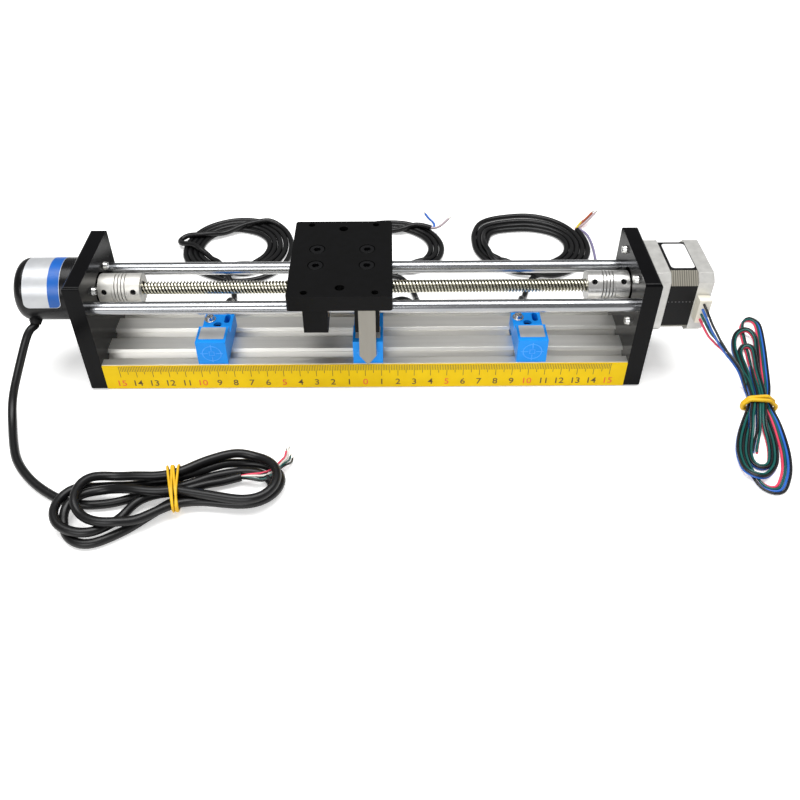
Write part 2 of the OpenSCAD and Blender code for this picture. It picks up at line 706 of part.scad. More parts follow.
module carriage_table() color("#151515") at_carriage() difference() {
    translate([0, 0, bar_top]) linear_extrude(table_t) rounded_rect([table_l, table_w], plate_r);
    at_table_screws() {
        translate([0, 0, -bore_head_h]) cylinder(d = bore_head_d, h = bore_head_h + cut);
        translate([0, 0, -table_t - cut]) cylinder(d = m5 + clear, h = table_t + 2 * cut);
    }
    for (x = [-1, 1], y = [-1, 1])
        translate([x * (table_l / 2 - corner_inset_x), y * (table_w / 2 - corner_inset_y), bar_top - cut])
            cylinder(d = corner_d, h = table_t + 2 * cut);
    for (y = [-1, 1]) translate([0, y * centre_hole_pitch / 2, bar_top - cut])
        cylinder(d = centre_hole_d, h = table_t + 2 * cut);
}

module cross_bar(side, middle_d) difference() {
    bar_x = side * bar_pitch / 2 - bar_t / 2;
    translate([bar_x, -bar_l / 2, bar_bottom]) cube([bar_t, bar_l, bar_up + bar_down]);
    at_rods() turned(bar_x - cut, bar_t + 2 * cut, bush_d + 2 * slip);
    on_axis() turned(bar_x - cut, bar_t + 2 * cut, middle_d);
    at_table_screws() translate([0, 0, -table_t - tap_l]) cylinder(d = m5, h = tap_l + cut);
    children();
}

module nut_bolts() on_axis() for (a = [45:90:315]) rotate([a, 0, 0])
    translate([0, 0, nut_pcd / 2]) children();

module cross_bar_left() color("#151515") at_carriage() cross_bar(-1, nut_d + 2 * seat)
    nut_bolts() turned(nut_face - nut_screw_grip - clear, nut_screw_grip + clear + cut, m3);

module cross_bar_right() color("#151515") at_carriage() cross_bar(1, screw_d + 1)
    translate([bar_pitch / 2, -bar_l / 2 - cut, pointer_screw_z]) rotate([-90, 0, 0])
        cylinder(d = pointer_screw_d, h = pointer_screw_l + cut);

module slide_bushes() color("darkgoldenrod") at_carriage() at_rods() for (s = [-1, 1])
    translate([s * bar_pitch / 2 - bar_t / 2, 0, 0]) along_x() ring(bush_d, rod_d + 2 * slip, bar_t);

module lead_nut() color("goldenrod") at_carriage() difference() {
    on_axis() union() {
        turned(nut_face, nut_flange_t, nut_flange_d);
        turned(nut_face + nut_flange_t - nut_l, nut_l - cut, nut_d);
    }
    on_axis() turned(nut_face - nut_l, 2 * nut_l, screw_d + 2 * slip);
    nut_bolts() turned(nut_face - cut, nut_flange_t + 2 * cut, m3 + clear);
}

module carriage_screws() color("#2a2a2a") at_carriage() at_table_screws() translate([0, 0, -bore_head_h])
    socket_screw(m5, table_t - bore_head_h + tap_l - clear, m5_head_d, m5_head_h);

module nut_screws() color("silver") at_carriage() nut_bolts() translate([nut_face + nut_flange_t, 0, 0])
    along_x() pan_screw(m3, nut_flange_t + nut_screw_grip, nut_head_d, nut_head_h);

// ---- Pointer ----

module at_pointer() at_carriage() translate([bar_pitch / 2, -bar_l / 2, 0]) children();

module pointer() color("#8d8a83") at_pointer() {
    tip = cell + pointer_lift;
    rotate([90, 0, 0]) linear_extrude(pointer_t) difference() {
        polygon([[0, tip], [pointer_w / 2, tip + pointer_taper], [pointer_w / 2, pointer_top],
            [-pointer_w / 2, pointer_top], [-pointer_w / 2, tip + pointer_taper]]);
        translate([0, pointer_screw_z]) circle(d = pointer_screw_d + clear / 2);
    }
}

module pointer_screw() color("silver") at_pointer() translate([0, -pointer_t, pointer_screw_z])
    rotate([90, 0, 0]) pan_screw(pointer_screw_d, pointer_screw_l, pointer_head_d, pointer_head_h);

// ---- Sensors; local y is measured from the sensing face, z from the base ----

module at_sensor(x) translate([x, sensor_face_y, cell]) children();

module sensor_body() difference() {
    rotate([90, 0, 90]) linear_extrude(sensor_w, center = true) polygon([
        [0, 0], [sensor_l, 0], [sensor_l, sensor_tab_h], [sensor_head_l, sensor_tab_h],
        [sensor_head_l, sensor_head_h - head_chamfer],
        [sensor_head_l - head_chamfer, sensor_head_h], [0, sensor_head_h]]);
    for (s = [-1, 1]) translate([s * sensor_slot_pitch / 2, sensor_slot_y, -cut])
        linear_extrude(sensor_tab_h + 2 * cut) rotate(90) stadium([sensor_slot_l, sensor_slot_w]);
    translate([0, sensor_slot_y - lamp_ahead, sensor_tab_h - lamp_depth])
        cylinder(d = lamp_d, h = lamp_depth + cut);
}

module sensor_left() color("#1e90f0") at_sensor(sensor_x_left) sensor_body();
module sensor_middle() color("#1e90f0") at_sensor(sensor_x_middle) sensor_body();
module sensor_right() color("#1e90f0") at_sensor(sensor_x_right) sensor_body();

module at_sensors() for (x = sensor_places) translate([x, 0, cell]) children();

module at_clamps() at_sensors() translate([-sensor_slot_pitch / 2, 0, 0]) children();

module sensor_grommets() color("#1a1a1a") for (x = sensor_places)
    translate([x, sensor_rear_y, sensor_cable_z]) rotate([-90, 0, 0])
        cylinder(d1 = sensor_cable_d + 2.4, d2 = sensor_cable_d + 1, h = grommet_l);

module sensor_washers() color("silver") at_clamps() translate([0, 0, sensor_tab_h])
    ring(washer_d, m3 + clear, washer_t);

module sensor_screws() color("silver") at_clamps() translate([0, 0, sensor_tab_h + washer_t])
    pan_screw(m3, sensor_screw_l, m3_head_d, m3_head_h);

// Slot nut, seated against the slot's lips from below
module sensor_nuts() color("silver") at_clamps() difference() {
    neck = slot_mouth / 2 - 0.2;
    wing = slot_cavity / 2 - clear;
    slope = slot_depth - (slot_cavity - slot_floor) / 2;
    half = [[neck, -0.6 * slot_lip], [neck, -slot_lip], [wing, -slot_lip], [wing, -slope],
        [wing - nut_reach + slope, -nut_reach]];
    rotate([90, 0, 90]) linear_extrude(slot_nut_l, center = true)
        polygon([each half, for (i = [len(half) - 1:-1:0]) [-half[i][0], half[i][1]]]);
    translate([0, 0, -nut_reach - cut]) cylinder(d = m3, h = nut_reach + 2 * cut);
}

// ---- Cords ----

function unit(v) = v / norm(v);
function heading(p, i) = unit(p[min(i + 1, len(p) - 1)] - p[max(i - 1, 0)]);
function side_of(t) = unit(cross(t, [0, 0, 1]));
function tube_ring(p, i, r, n) = let (t = heading(p, i), s = side_of(t), u = cross(s, t))
    [for (k = [0:n - 1]) p[i] + r * (s * cos(360 * k / n) + u * sin(360 * k / n))];

// Tube of n sides swept along the points of a route
module tube(p, d, n) {
    m = len(p);
    points = [for (i = [0:m - 1]) each tube_ring(p, i, d / 2, n)];
    walls = [for (i = [0:m - 2], k = [0:n - 1], f = [0, 1])
        let (a = i * n + k, b = i * n + (k + 1) % n) f == 0 ? [a, b, b + n] : [a, b + n, a + n]];
    ends = [[for (k = [n - 1:-1:0]) k], [for (k = [0:n - 1]) (m - 1) * n + k]];
    polyhedron(points, concat(walls, ends));
}

module hank_outline(c, r) for (i = [0:len(c) - 2]) hull() {
    translate(c[i]) circle(r[i], $fn = 32);
    translate(c[i + 1]) circle(r[i + 1], $fn = 32);
}

// Space inside a band that lies round a hank; local x runs along the hank
module band_core(width, h, grow, l) translate([0, 0, h / 2]) rotate([90, 0, 90])
    linear_extrude(l, center = true) stadium([width + 2 * grow, h - 2 * band_t + 2 * grow]);

module band(place, angle, width, h) translate(place) rotate(angle) difference() {
    band_core(width, h, band_t, band_w);
    band_core(width, h, 0, band_w + cut);
}

// The hank is necked to the band's inside where the band holds it
module hank(c, r, h, place, angle, width) difference() {
    linear_extrude(h) hank_outline(c, r);
    translate(place) rotate(angle) difference() {
        translate([-band_w / 2 - seat, -2 * width, -cut]) cube([band_w + 2 * seat, 4 * width, h + 2 * cut]);
        band_core(width, h, -seat, band_w + 2 * cut);
    }
}

encoder_band_width = 2 * encoder_hank_r[1];
motor_band_width = 2 * motor_hank_r[2];

module encoder_lead() color("#202020") tube(encoder_route, encoder_cable_d, 10);
module motor_lead() color("#333333") tube(motor_route, motor_lead_d, 8);
module sensor_lead_left() color("#202020") tube(sensor_route_left, sensor_cable_d, 8);
module sensor_lead_middle() color("#202020") tube(sensor_route_middle, sensor_cable_d, 8);
module sensor_lead_right() color("#202020") tube(sensor_route_right, sensor_cable_d, 8);

module encoder_hank() color("#202020") hank(encoder_hank_ends, encoder_hank_r, encoder_hank_h,
    encoder_hank_ends[1], encoder_band_angle, encoder_band_width);
module encoder_band() color("gold") band(encoder_hank_ends[1], encoder_band_angle,
    encoder_band_width, encoder_hank_h);
module motor_hank() color("#333333") hank(motor_hank_ends, motor_hank_r, motor_hank_h,
    motor_hank_ends[2], motor_band_angle, motor_band_width);
module motor_band() color("gold") band(motor_hank_ends[2], motor_band_angle,
    motor_band_width, motor_hank_h);

module sensor_coil(i) color("#202020") translate(coil_centres[i]) rotate_extrude()
    translate([(coil_inner + coil_outer) / 2, coil_h / 2])
        rounded_rect([coil_outer - coil_inner, coil_h], coil_h / 3);

base_extrusion();
end_plate_left();
end_plate_right();
guide_rod(-1);  // guide_rod_front
guide_rod(1);  // guide_rod_rear
ruler_strip();
base_screws();
rod_screws();
motor_front_cap();
motor_stack();
motor_windings();
motor_rear_cap();
motor_bearings();
motor_rotor();
motor_mount_screws();
motor_case_screws();
motor_socket();
motor_plug();
encoder_body();
encoder_cover();
encoder_bearings();
encoder_shaft();
encoder_disc();
encoder_board();
encoder_screws();
encoder_gland();
lead_screw();
coupling_left();
coupling_right();
coupling_screws();
carriage_table();
cross_bar_left();
cross_bar_right();
slide_bushes();
lead_nut();
carriage_screws();
nut_screws();
pointer();
pointer_screw();
sensor_left();
sensor_middle();
sensor_right();
sensor_grommets();
sensor_screws();
sensor_washers();
sensor_nuts();
encoder_lead();
encoder_hank();
encoder_band();
motor_lead();
motor_hank();
motor_band();
sensor_lead_left();
sensor_lead_middle();
sensor_lead_right();
sensor_coil(0);  // sensor_coil_left
sensor_coil(1);  // sensor_coil_middle
sensor_coil(2);  // sensor_coil_right
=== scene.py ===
import math

import bpy
import numpy as np
from mathutils import Matrix, Vector


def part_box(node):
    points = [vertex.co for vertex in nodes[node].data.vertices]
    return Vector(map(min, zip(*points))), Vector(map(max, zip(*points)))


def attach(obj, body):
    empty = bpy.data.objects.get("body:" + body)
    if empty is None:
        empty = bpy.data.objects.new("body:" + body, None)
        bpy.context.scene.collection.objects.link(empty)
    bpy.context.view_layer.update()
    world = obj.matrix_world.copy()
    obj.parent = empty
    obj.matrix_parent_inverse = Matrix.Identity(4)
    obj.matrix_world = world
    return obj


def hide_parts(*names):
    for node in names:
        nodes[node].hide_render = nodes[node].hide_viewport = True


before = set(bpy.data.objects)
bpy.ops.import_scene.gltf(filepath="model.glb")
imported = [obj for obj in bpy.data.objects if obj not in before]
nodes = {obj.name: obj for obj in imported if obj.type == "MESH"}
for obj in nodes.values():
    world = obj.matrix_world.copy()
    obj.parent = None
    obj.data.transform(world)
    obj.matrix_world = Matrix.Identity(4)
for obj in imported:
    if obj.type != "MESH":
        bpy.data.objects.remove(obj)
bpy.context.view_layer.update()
mm = 0.001


# ---- Small helpers ----

def hexColour(code):  # an sRGB hex value as linear light
    parts = [int(code[i:i + 2], 16) / 255 for i in (0, 2, 4)]
    return [c / 12.92 if c <= 0.04045 else ((c + 0.055) / 1.055) ** 2.4 for c in parts] + [1.0]


def addNode(tree, kind, values=None, **settings):  # values go to sockets, or link to them
    node = tree.nodes.new(kind)
    for name, value in settings.items():
        setattr(node, name, value)
    for socket, value in (values or {}).items():
        if isinstance(value, bpy.types.NodeSocket):
            tree.links.new(value, node.inputs[socket])
        else:
            node.inputs[socket].default_value = value
    return node


def linkObject(name, data, material=None):
    piece = bpy.data.objects.new(name, data)
    bpy.context.scene.collection.objects.link(piece)
    if material:
        data.materials.clear()
        data.materials.append(material)
    return piece


def meshPiece(name, points, faces, material, body=None, sharp=35):
    mesh = bpy.data.meshes.new(name)
    mesh.from_pydata([tuple(p) for p in points], [], faces)
    mesh.validate()
    shadeSmooth(mesh, sharp)
    piece = linkObject(name, mesh, material)
    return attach(piece, body) if body else piece


def shadeSmooth(mesh, sharp):  # smooth but for edges sharper than this many degrees
    mesh.shade_smooth()
    mesh.set_sharp_from_angle(angle=math.radians(sharp))


def newTree(name, **kinds):  # an empty node tree with its named inputs
    tree = bpy.data.node_groups.new(name, "GeometryNodeTree")
    tree.interface.new_socket(name="geometry", in_out="OUTPUT", socket_type="NodeSocketGeometry")
    for label, kind in kinds.items():
        tree.interface.new_socket(name=label, in_out="INPUT", socket_type="NodeSocket" + kind)
    return tree, addNode(tree, "NodeGroupInput").outputs


def maths(tree, operation, a, b=0.0):
    return addNode(tree, "ShaderNodeMath", {0: a, 1: b}, operation=operation).outputs[0]


def sumsIn(tree):  # adding, taking away, multiplying and dividing in this tree
    return [lambda a, b, kind=kind: maths(tree, kind, a, b)
            for kind in ("ADD", "SUBTRACT", "MULTIPLY", "DIVIDE")]


def endTree(tree, shape, material):
    real = addNode(tree, "GeometryNodeRealizeInstances", {0: shape})
    coated = addNode(tree, "GeometryNodeSetMaterial", {"Geometry": real.outputs[0], "Material": material})
    addNode(tree, "NodeGroupOutput", {0: coated.outputs[0]})


def grown(name, tree, values, sharp=35):  # what the tree makes, as a plain mesh
    piece = linkObject(name, bpy.data.meshes.new(name))
    growth = piece.modifiers.new("growth", "NODES")
    growth.node_group = tree
    for item in tree.interface.items_tree:
        if item.in_out == "INPUT":
            growth[item.identifier] = values[item.name]
    return flattened(piece, sharp)


def flattened(piece, sharp=35):  # modifiers or a curve turned into a plain mesh piece
    graph = bpy.context.evaluated_depsgraph_get()
    mesh = bpy.data.meshes.new_from_object(piece.evaluated_get(graph))
    name = piece.name
    bpy.data.objects.remove(piece)
    shadeSmooth(mesh, sharp)
    return linkObject(name, mesh)


# ---- Camera, floor and light ----

viewer = {"place": (0.01573, -0.4048, 0.35828), "pitch": 38.94, "yaw": 0.30, "roll": -0.18,
          "lens": 37.31, "shift": (0.0075, -0.1025)}


def makeCamera(s):
    pitch, yaw, roll = (math.radians(s[k]) for k in ("pitch", "yaw", "roll"))
    ahead = Vector((math.sin(yaw) * math.cos(pitch), math.cos(yaw) * math.cos(pitch), -math.sin(pitch)))
    right = Vector((math.cos(yaw), -math.sin(yaw), 0))
    up = right.cross(ahead)
    right, up = (math.cos(roll) * right + math.sin(roll) * up,
                 math.cos(roll) * up - math.sin(roll) * right)
    data = bpy.data.cameras.new("viewer")
    data.lens = s["lens"]
    data.shift_x, data.shift_y = s["shift"]
    data.clip_start, data.clip_end = 0.01, 20
    camera = linkObject("viewer", data)
    camera.matrix_world = Matrix((right, up, -ahead)).transposed().to_4x4()
    camera.location = s["place"]
    bpy.context.scene.camera = camera


makeCamera(viewer)

studio = {"world": 0.26, "floorSize": 3.0, "floorLift": 0.40,
          "lamps": [("overhead", (0.0, 0.05, 1.35), (0, 0.0, 0), (1.5, 0.8), 24.0),
                    ("frontFill", (-0.5, -1.3, 0.75), (0, 0, 0.03), (0.9, 0.6), 9.0)]}


def makeStudio(s):
    world = bpy.data.worlds.new("studio")
    world.use_nodes = True
    bpy.context.scene.world = world
    tree = world.node_tree
    tree.nodes.clear()
    path = addNode(tree, "ShaderNodeLightPath")
    lit = addNode(tree, "ShaderNodeBackground", {"Color": hexColour("FFFFFF"), "Strength": s["world"]})
    shown = addNode(tree, "ShaderNodeBackground", {"Color": hexColour("FFFFFF"), "Strength": 1.0})
    mixed = addNode(tree, "ShaderNodeMixShader", {0: path.outputs["Is Camera Ray"],
                                                  1: lit.outputs[0], 2: shown.outputs[0]})
    addNode(tree, "ShaderNodeOutputWorld", {"Surface": mixed.outputs[0]})
    for name, place, aim, size, power in s["lamps"]:
        data = bpy.data.lights.new(name, "AREA")
        data.shape = "RECTANGLE"
        data.size, data.size_y = size
        data.energy = power
        lamp = linkObject(name, data)
        lamp.matrix_world = (Matrix.Translation(place) @
                             (Vector(place) - Vector(aim)).to_track_quat("Z", "Y").to_matrix().to_4x4())

    floor = bpy.data.materials.new("paleFloor")
    floor.use_nodes = True
    tree = floor.node_tree
    tree.nodes.clear()
    path = addNode(tree, "ShaderNodeLightPath")
    paper = addNode(tree, "ShaderNodeBsdfDiffuse", {"Color": hexColour("F7F7F6")})
    lift = addNode(tree, "ShaderNodeEmission", {"Color": hexColour("FFFFFF"), "Strength": s["floorLift"]})
    both = addNode(tree, "ShaderNodeAddShader", {0: paper.outputs[0], 1: lift.outputs[0]})
    mixed = addNode(tree, "ShaderNodeMixShader", {0: path.outputs["Is Camera Ray"],
                                                  1: paper.outputs[0], 2: both.outputs[0]})
    addNode(tree, "ShaderNodeOutputMaterial", {"Surface": mixed.outputs[0]})
    h = s["floorSize"]
    sheet = meshPiece("floor", [(-h, -h, 0), (h, -h, 0), (h, h, 0), (-h, h, 0)], [(0, 1, 2, 3)], floor)
    sheet.location.z = -0.0002


makeStudio(studio)
bpy.context.scene.view_settings.view_transform = "Standard"
print("camera, floor and light made")


# ---- Materials ----

def newMaterial(name):
    material = bpy.data.materials.new(name)
    material.use_nodes = True
    tree = material.node_tree
    tree.nodes.clear()
    return material, tree


def surface(tree, colour, **sockets):  # the main shader, its output and the place of the surface
    names = {"metallic": "Metallic", "roughness": "Roughness", "ior": "IOR", "coat": "Coat Weight",
             "coatRoughness": "Coat Roughness", "anisotropic": "Anisotropic", "normal": "Normal",
             "sheen": "Sheen Weight"}
    values = {names[k]: v for k, v in sockets.items()}
    values["Base Color"] = colour
    shader = addNode(tree, "ShaderNodeBsdfPrincipled", values)
    addNode(tree, "ShaderNodeOutputMaterial", {"Surface": shader.outputs[0]})
    return shader


def place(tree, scale=(1, 1, 1), turn=(0, 0, 0)):  # Object coordinates, in metres
    where = addNode(tree, "ShaderNodeTexCoord")
    return addNode(tree, "ShaderNodeMapping", {"Vector": where.outputs["Object"], "Scale": scale,
                                               "Rotation": turn}).outputs[0]


def noise(tree, size, at, detail=3.0, rough=0.55):  # size is the width of a grain in metres
    return addNode(tree, "ShaderNodeTexNoise", {"Vector": at, "Scale": 1 / size, "Detail": detail,
                                                "Roughness": rough}).outputs["Fac"]


def between(tree, factor, low, high, span=(0.3, 0.7)):
    return addNode(tree, "ShaderNodeMapRange", {"Value": factor, "From Min": span[0], "From Max": span[1],
                                                "To Min": low, "To Max": high}).outputs[0]


def blendColour(tree, factor, a, b):
    return addNode(tree, "ShaderNodeMix", {"Factor": factor, 6: a, 7: b}, data_type="RGBA").outputs[2]


def softEdge(tree, radius, height=None, depth=0.0):  # rounded edges, with an optional relief on top
    edge = addNode(tree, "ShaderNodeBevel", {"Radius": radius}, samples=4).outputs[0]
    if height is None:
        return edge
    return addNode(tree, "ShaderNodeBump", {"Height": height, "Distance": depth, "Strength": 1.0,
                                            "Normal": edge}).outputs[0]


def grainyMaterial(name, colour, other, grain, rough, relief=0.0, stretch=(1, 1, 1), edge=0.0003, **more):
    material, tree = newMaterial(name)
    at = place(tree, stretch)
    fac = noise(tree, grain, at)
    broad = noise(tree, grain * 14, at, 2.0)
    tint = blendColour(tree, between(tree, broad, 0, 1), hexColour(colour), hexColour(other))
    if edge:  # round bodies without edges go without
        more["normal"] = softEdge(tree, edge, fac, relief)
    surface(tree, tint, roughness=between(tree, fac, rough[0], rough[1]), **more)
    return material


# Clear-anodised extrusion: warm white metal with die lines along x that stretch its highlights
baseMetal = grainyMaterial("anodisedAluminium", "F6F4EE", "EAE8E2", 0.0003, (0.30, 0.42), 0.000006,
                           (0.02, 1, 1), metallic=0.85)
# Baked paint of the end plates: near black, mirroring its neighbours faintly
plateBlack = grainyMaterial("glossBlackPaint", "060607", "08080A", 0.0006, (0.16, 0.22), 0.000002,
                            ior=1.2)
# Ground and hard-plated rods: one clean bright and one clean dark streak
rodSteel = grainyMaterial("hardPlatedSteel", "ACADB0", "A2A4A7", 0.002, (0.22, 0.26), metallic=1.0,
                          edge=0)
# Stoved enamel: an even saturated yellow with a soft sheen
rulerEnamel = grainyMaterial("yellowEnamel", "EBC600", "E4BE00", 0.0008, (0.40, 0.48), 0.000002, ior=1.25)
# Printing inks, matt on the enamel
inkBrown = grainyMaterial("brownInk", "5A4208", "4E3906", 0.0004, (0.45, 0.55), edge=0.00002)
inkRed = grainyMaterial("redInk", "E2641A", "DA5A14", 0.0004, (0.45, 0.55), edge=0.00002)
# Blackened screws: oily dark steel, brighter on their rims
blackOxide = grainyMaterial("blackOxideSteel", "1A1A1C", "131315", 0.0004, (0.26, 0.38), 0.000004,
                            metallic=0.6)
# Zinc plate: cool bright heads that sparkle on their edges
brightZinc = grainyMaterial("brightZincSteel", "D8D8D6", "C6C6C4", 0.0004, (0.18, 0.30), 0.000004,
                            metallic=1.0)
# Die-cast and machined motor caps: pale grain, broad soft highlight
capAluminium = grainyMaterial("machinedCasting", "DCDBD7", "CBCAC6", 0.00035, (0.36, 0.50), 0.000012,
                              metallic=0.65)
# Ground steel of shafts and bearings inside: darker than the plated rods
innerSteel = grainyMaterial("groundSteel", "A8A6A2", "989692", 0.0003, (0.3, 0.4), metallic=1.0)
# Enamelled windings: warm amber copper
copperWire = grainyMaterial("enamelledCopper", "B4683A", "9A522A", 0.0004, (0.25, 0.35), metallic=0.9)
# Nylon of plug and socket: warm ivory, waxy
ivoryNylon = grainyMaterial("ivoryNylon", "EFEBDC", "E6E1D0", 0.0010, (0.42, 0.52), 0.000006)
# Black anodised encoder: satin with a long soft streak along its barrel
encoderBlack = grainyMaterial("anodisedBlackCase", "09090A", "0D0D0F", 0.0004, (0.22, 0.30), 0.000002,
                              ior=1.35)
# Solder resist over copper: green under lacquer
boardGreen = grainyMaterial("lacqueredBoard", "1E5A34", "174A2A", 0.0010, (0.3, 0.4))
# Moulded rubber of gland and grommets: dull black
softRubber = grainyMaterial("mouldedRubber", "101011", "161617", 0.0006, (0.5, 0.62), 0.000008, ior=1.35)
# Bead-blasted coupling: matt and pale, no clear reflection
blastedAluminium = grainyMaterial("beadBlastedAluminium", "E2E0DA", "D6D4CE", 0.00025, (0.46, 0.58),
                                  0.000008, metallic=0.8)
# Turned coupling: bright, its fine rings drawing the light around it
turnedAluminium = grainyMaterial("turnedAluminium", "E4E3E0", "DAD9D6", 0.0002, (0.26, 0.38), 0.000003,
                                 (1, 0.05, 0.05), metallic=0.9)
# Satin anodised carriage: deep black that takes almost no highlight
satinBlack = grainyMaterial("satinBlackAnodised", "080808", "0B0B0C", 0.0003, (0.38, 0.48), 0.000003,
                            ior=1.2)
# Bronze of nut and bushes: brown gold
turnedBronze = grainyMaterial("turnedBronze", "B98E4A", "A87C3A", 0.0003, (0.28, 0.38), metallic=1.0)
# Brushed steel pointer: warm grey, satin
pointerGrey = grainyMaterial("brushedSteelPointer", "9B978E", "8E8A82", 0.0005, (0.35, 0.45), 0.000004,
                             (1, 1, 0.05), metallic=0.3)
# Moulded sensor cases: saturated sky blue, softly glossy
sensorBlue = grainyMaterial("blueAbs", "1594F4", "0F8CEC", 0.0010, (0.34, 0.44), 0.000003, ior=1.3)
# The same plastic on the raised moulded lines, painted lighter as a painted highlight where they catch the
# light
litRidgeBlue = grainyMaterial("paintedHighlightBlueAbs", "40A8FF", "389EF8", 0.0010, (0.34, 0.44), edge=0)
# Smoked lens of the sensor's lamp: almost black and glossy
lampLens = grainyMaterial("smokedLens", "160608", "10060A", 0.0010, (0.10, 0.14), edge=0.0001)
# Black cable sheath: smooth soft gloss in long narrow highlights
cablePvc = grainyMaterial("blackPvcSheath", "0D0D0E", "131314", 0.0012, (0.30, 0.40), 0.000006, ior=1.4)
# Rubber bands: matt golden yellow
bandRubber = grainyMaterial("yellowRubberBand", "E8BC1A", "D4A410", 0.0005, (0.45, 0.6), 0.00002)
# Label films: brushed silver, plain white and printed blue, all bare
labelFilm = grainyMaterial("silverLabelFilm", "C9CBCD", "BDBFC2", 0.0006, (0.30, 0.40), 0.000002,
                           metallic=0.35, edge=0.00005)
labelPaper = grainyMaterial("whiteLabelFilm", "F0F0F0", "E8E8E8", 0.0005, (0.35, 0.45), edge=0.00005)
blueFilm = grainyMaterial("bluePrintedFilm", "075CB4", "0654A6", 0.0005, (0.3, 0.4), edge=0.00005)


def laminationMaterial(s):  # painted flats, and corners where the bare laminations show as stripes
    material, tree = newMaterial("paintedLaminations")
    add, less, times, _ = sumsIn(tree)
    at = place(tree)
    x, y, z = addNode(tree, "ShaderNodeSeparateXYZ", {0: at}).outputs
    off = less(z, s["axis"])
    corner = maths(tree, "GREATER_THAN", add(maths(tree, "ABSOLUTE", y), maths(tree, "ABSOLUTE", off)),
                   s["cornerFrom"])
    stripe = maths(tree, "SINE", times(x, 2 * math.pi / s["stripe"]))
    bare = blendColour(tree, between(tree, stripe, 0, 1, (-1, 1)), hexColour("A8A498"), hexColour("6F6C64"))
    dots = maths(tree, "GREATER_THAN", maths(tree, "SINE", times(x, 2 * math.pi / s["dot"])), s["dotShare"])
    line = maths(tree, "LESS_THAN", maths(tree, "ABSOLUTE", less(z, s["lineHeight"])), s["lineWidth"])
    front = maths(tree, "LESS_THAN", y, s["frontFace"])
    scored = times(dots, times(line, front))
    paint = blendColour(tree, scored, hexColour("0B0B0C"), hexColour("6A6A6A"))
    fac = noise(tree, 0.0005, at)
    surface(tree, blendColour(tree, corner, paint, bare), metallic=times(corner, 0.6),
            roughness=between(tree, fac, 0.40, 0.5), ior=1.3, normal=softEdge(tree, 0.0003))
    return material


def threadMaterial(s):  # bright crests, and roots painted darker as painted shade in the hollows of the thread
    material, tree = newMaterial("rolledStainless")
    at = place(tree)
    y, z = addNode(tree, "ShaderNodeSeparateXYZ", {0: at}).outputs[1:]
    add, less, times, _ = sumsIn(tree)
    off = less(z, s["axis"])
    radius = maths(tree, "SQRT", add(times(y, y), times(off, off)))
    height = between(tree, radius, 0, 1, s["span"])
    # the colour runs from painted shade in the roots to the bare steel of the crests
    surface(tree, blendColour(tree, height, hexColour(s["rootShadeColour"]), hexColour(s["crestColour"])),
            metallic=1.0, roughness=between(tree, noise(tree, 0.0006, at), 0.22, 0.32))
    return material


# Rolled thread of the lead screw: silver with a yellow tinge, its roots painted dark as painted shade
screwSteel = threadMaterial({"axis": 0.056, "span": (0.0030, 0.0038), "rootShadeColour": "605D50",
                             "crestColour": "CFCCBC"})
# Motor stack: black paint, striped bare steel at its corners, a faint scored line in front
stackVarnish = laminationMaterial({"axis": 0.056, "cornerFrom": 0.0357, "stripe": 0.0013, "dot": 0.0021,
                                   "dotShare": 0.35, "lineHeight": 0.059, "lineWidth": 0.00022,
                                   "frontFace": -0.0211})


def wireMaterial(name, colour, other):
    return grainyMaterial(name, colour, other, 0.0008, (0.30, 0.40), 0.000006)


wirePvc = {"black": wireMaterial("blackWirePvc", "101012", "17171A"),
           "blue": wireMaterial("blueWirePvc", "2E6BC8", "2860B8"),
           "green": wireMaterial("greenWirePvc", "0F5A54", "0C4E4A"),
           "red": wireMaterial("redWirePvc", "E84A66", "DA3E5C"),
           "white": wireMaterial("whiteWirePvc", "E9E4DC", "DDD8D0"),
           "brown": wireMaterial("brownWirePvc", "A8522E", "984626"),
           "pink": wireMaterial("pinkWirePvc", "E0949A", "D4868C"),
           "grey": wireMaterial("greyWirePvc", "B9A9AE", "AA9AA0"),
           "yellow": wireMaterial("yellowWirePvc", "D8C040", "CCB438"),
           # the lilac strand is painted shadow: a lilac grey shadow drawn as a thin wire
           "lilacShadow": wireMaterial("paintedShadowStrandPvc", "8C84A8", "7E7698")}
# Tinned strand at the stripped ends
strandCopper = grainyMaterial("tinnedCopperStrand", "C9C4BA", "B4AEA2", 0.0003, (0.3, 0.42), metallic=1.0)

finishes = {
    "base_extrusion": baseMetal, "end_plate_left": plateBlack, "end_plate_right": plateBlack,
    "guide_rod_front": rodSteel, "guide_rod_rear": rodSteel, "ruler_strip": rulerEnamel,
    "base_screws": blackOxide, "rod_screws": blackOxide,
    "motor_front_cap": capAluminium, "motor_stack": stackVarnish, "motor_windings": copperWire,
    "motor_rear_cap": capAluminium, "motor_bearings": innerSteel, "motor_rotor": innerSteel,
    "motor_mount_screws": brightZinc, "motor_case_screws": brightZinc, "motor_socket": ivoryNylon,
    "motor_plug": ivoryNylon,
    "encoder_body": encoderBlack, "encoder_cover": encoderBlack, "encoder_bearings": innerSteel,
    "encoder_shaft": innerSteel, "encoder_disc": innerSteel, "encoder_board": boardGreen,
    "encoder_screws": brightZinc, "encoder_gland": softRubber,
    "lead_screw": screwSteel, "coupling_left": blastedAluminium, "coupling_right": turnedAluminium,
    "coupling_screws": blackOxide,
    "carriage_table": satinBlack, "cross_bar_left": satinBlack, "cross_bar_right": satinBlack,
    "slide_bushes": turnedBronze, "lead_nut": turnedBronze, "carriage_screws": blackOxide,
    "nut_screws": brightZinc, "pointer": pointerGrey, "pointer_screw": brightZinc,
    "sensor_left": sensorBlue, "sensor_middle": sensorBlue, "sensor_right": sensorBlue,
    "sensor_grommets": softRubber, "sensor_screws": brightZinc, "sensor_washers": brightZinc,
    "sensor_nuts": brightZinc}
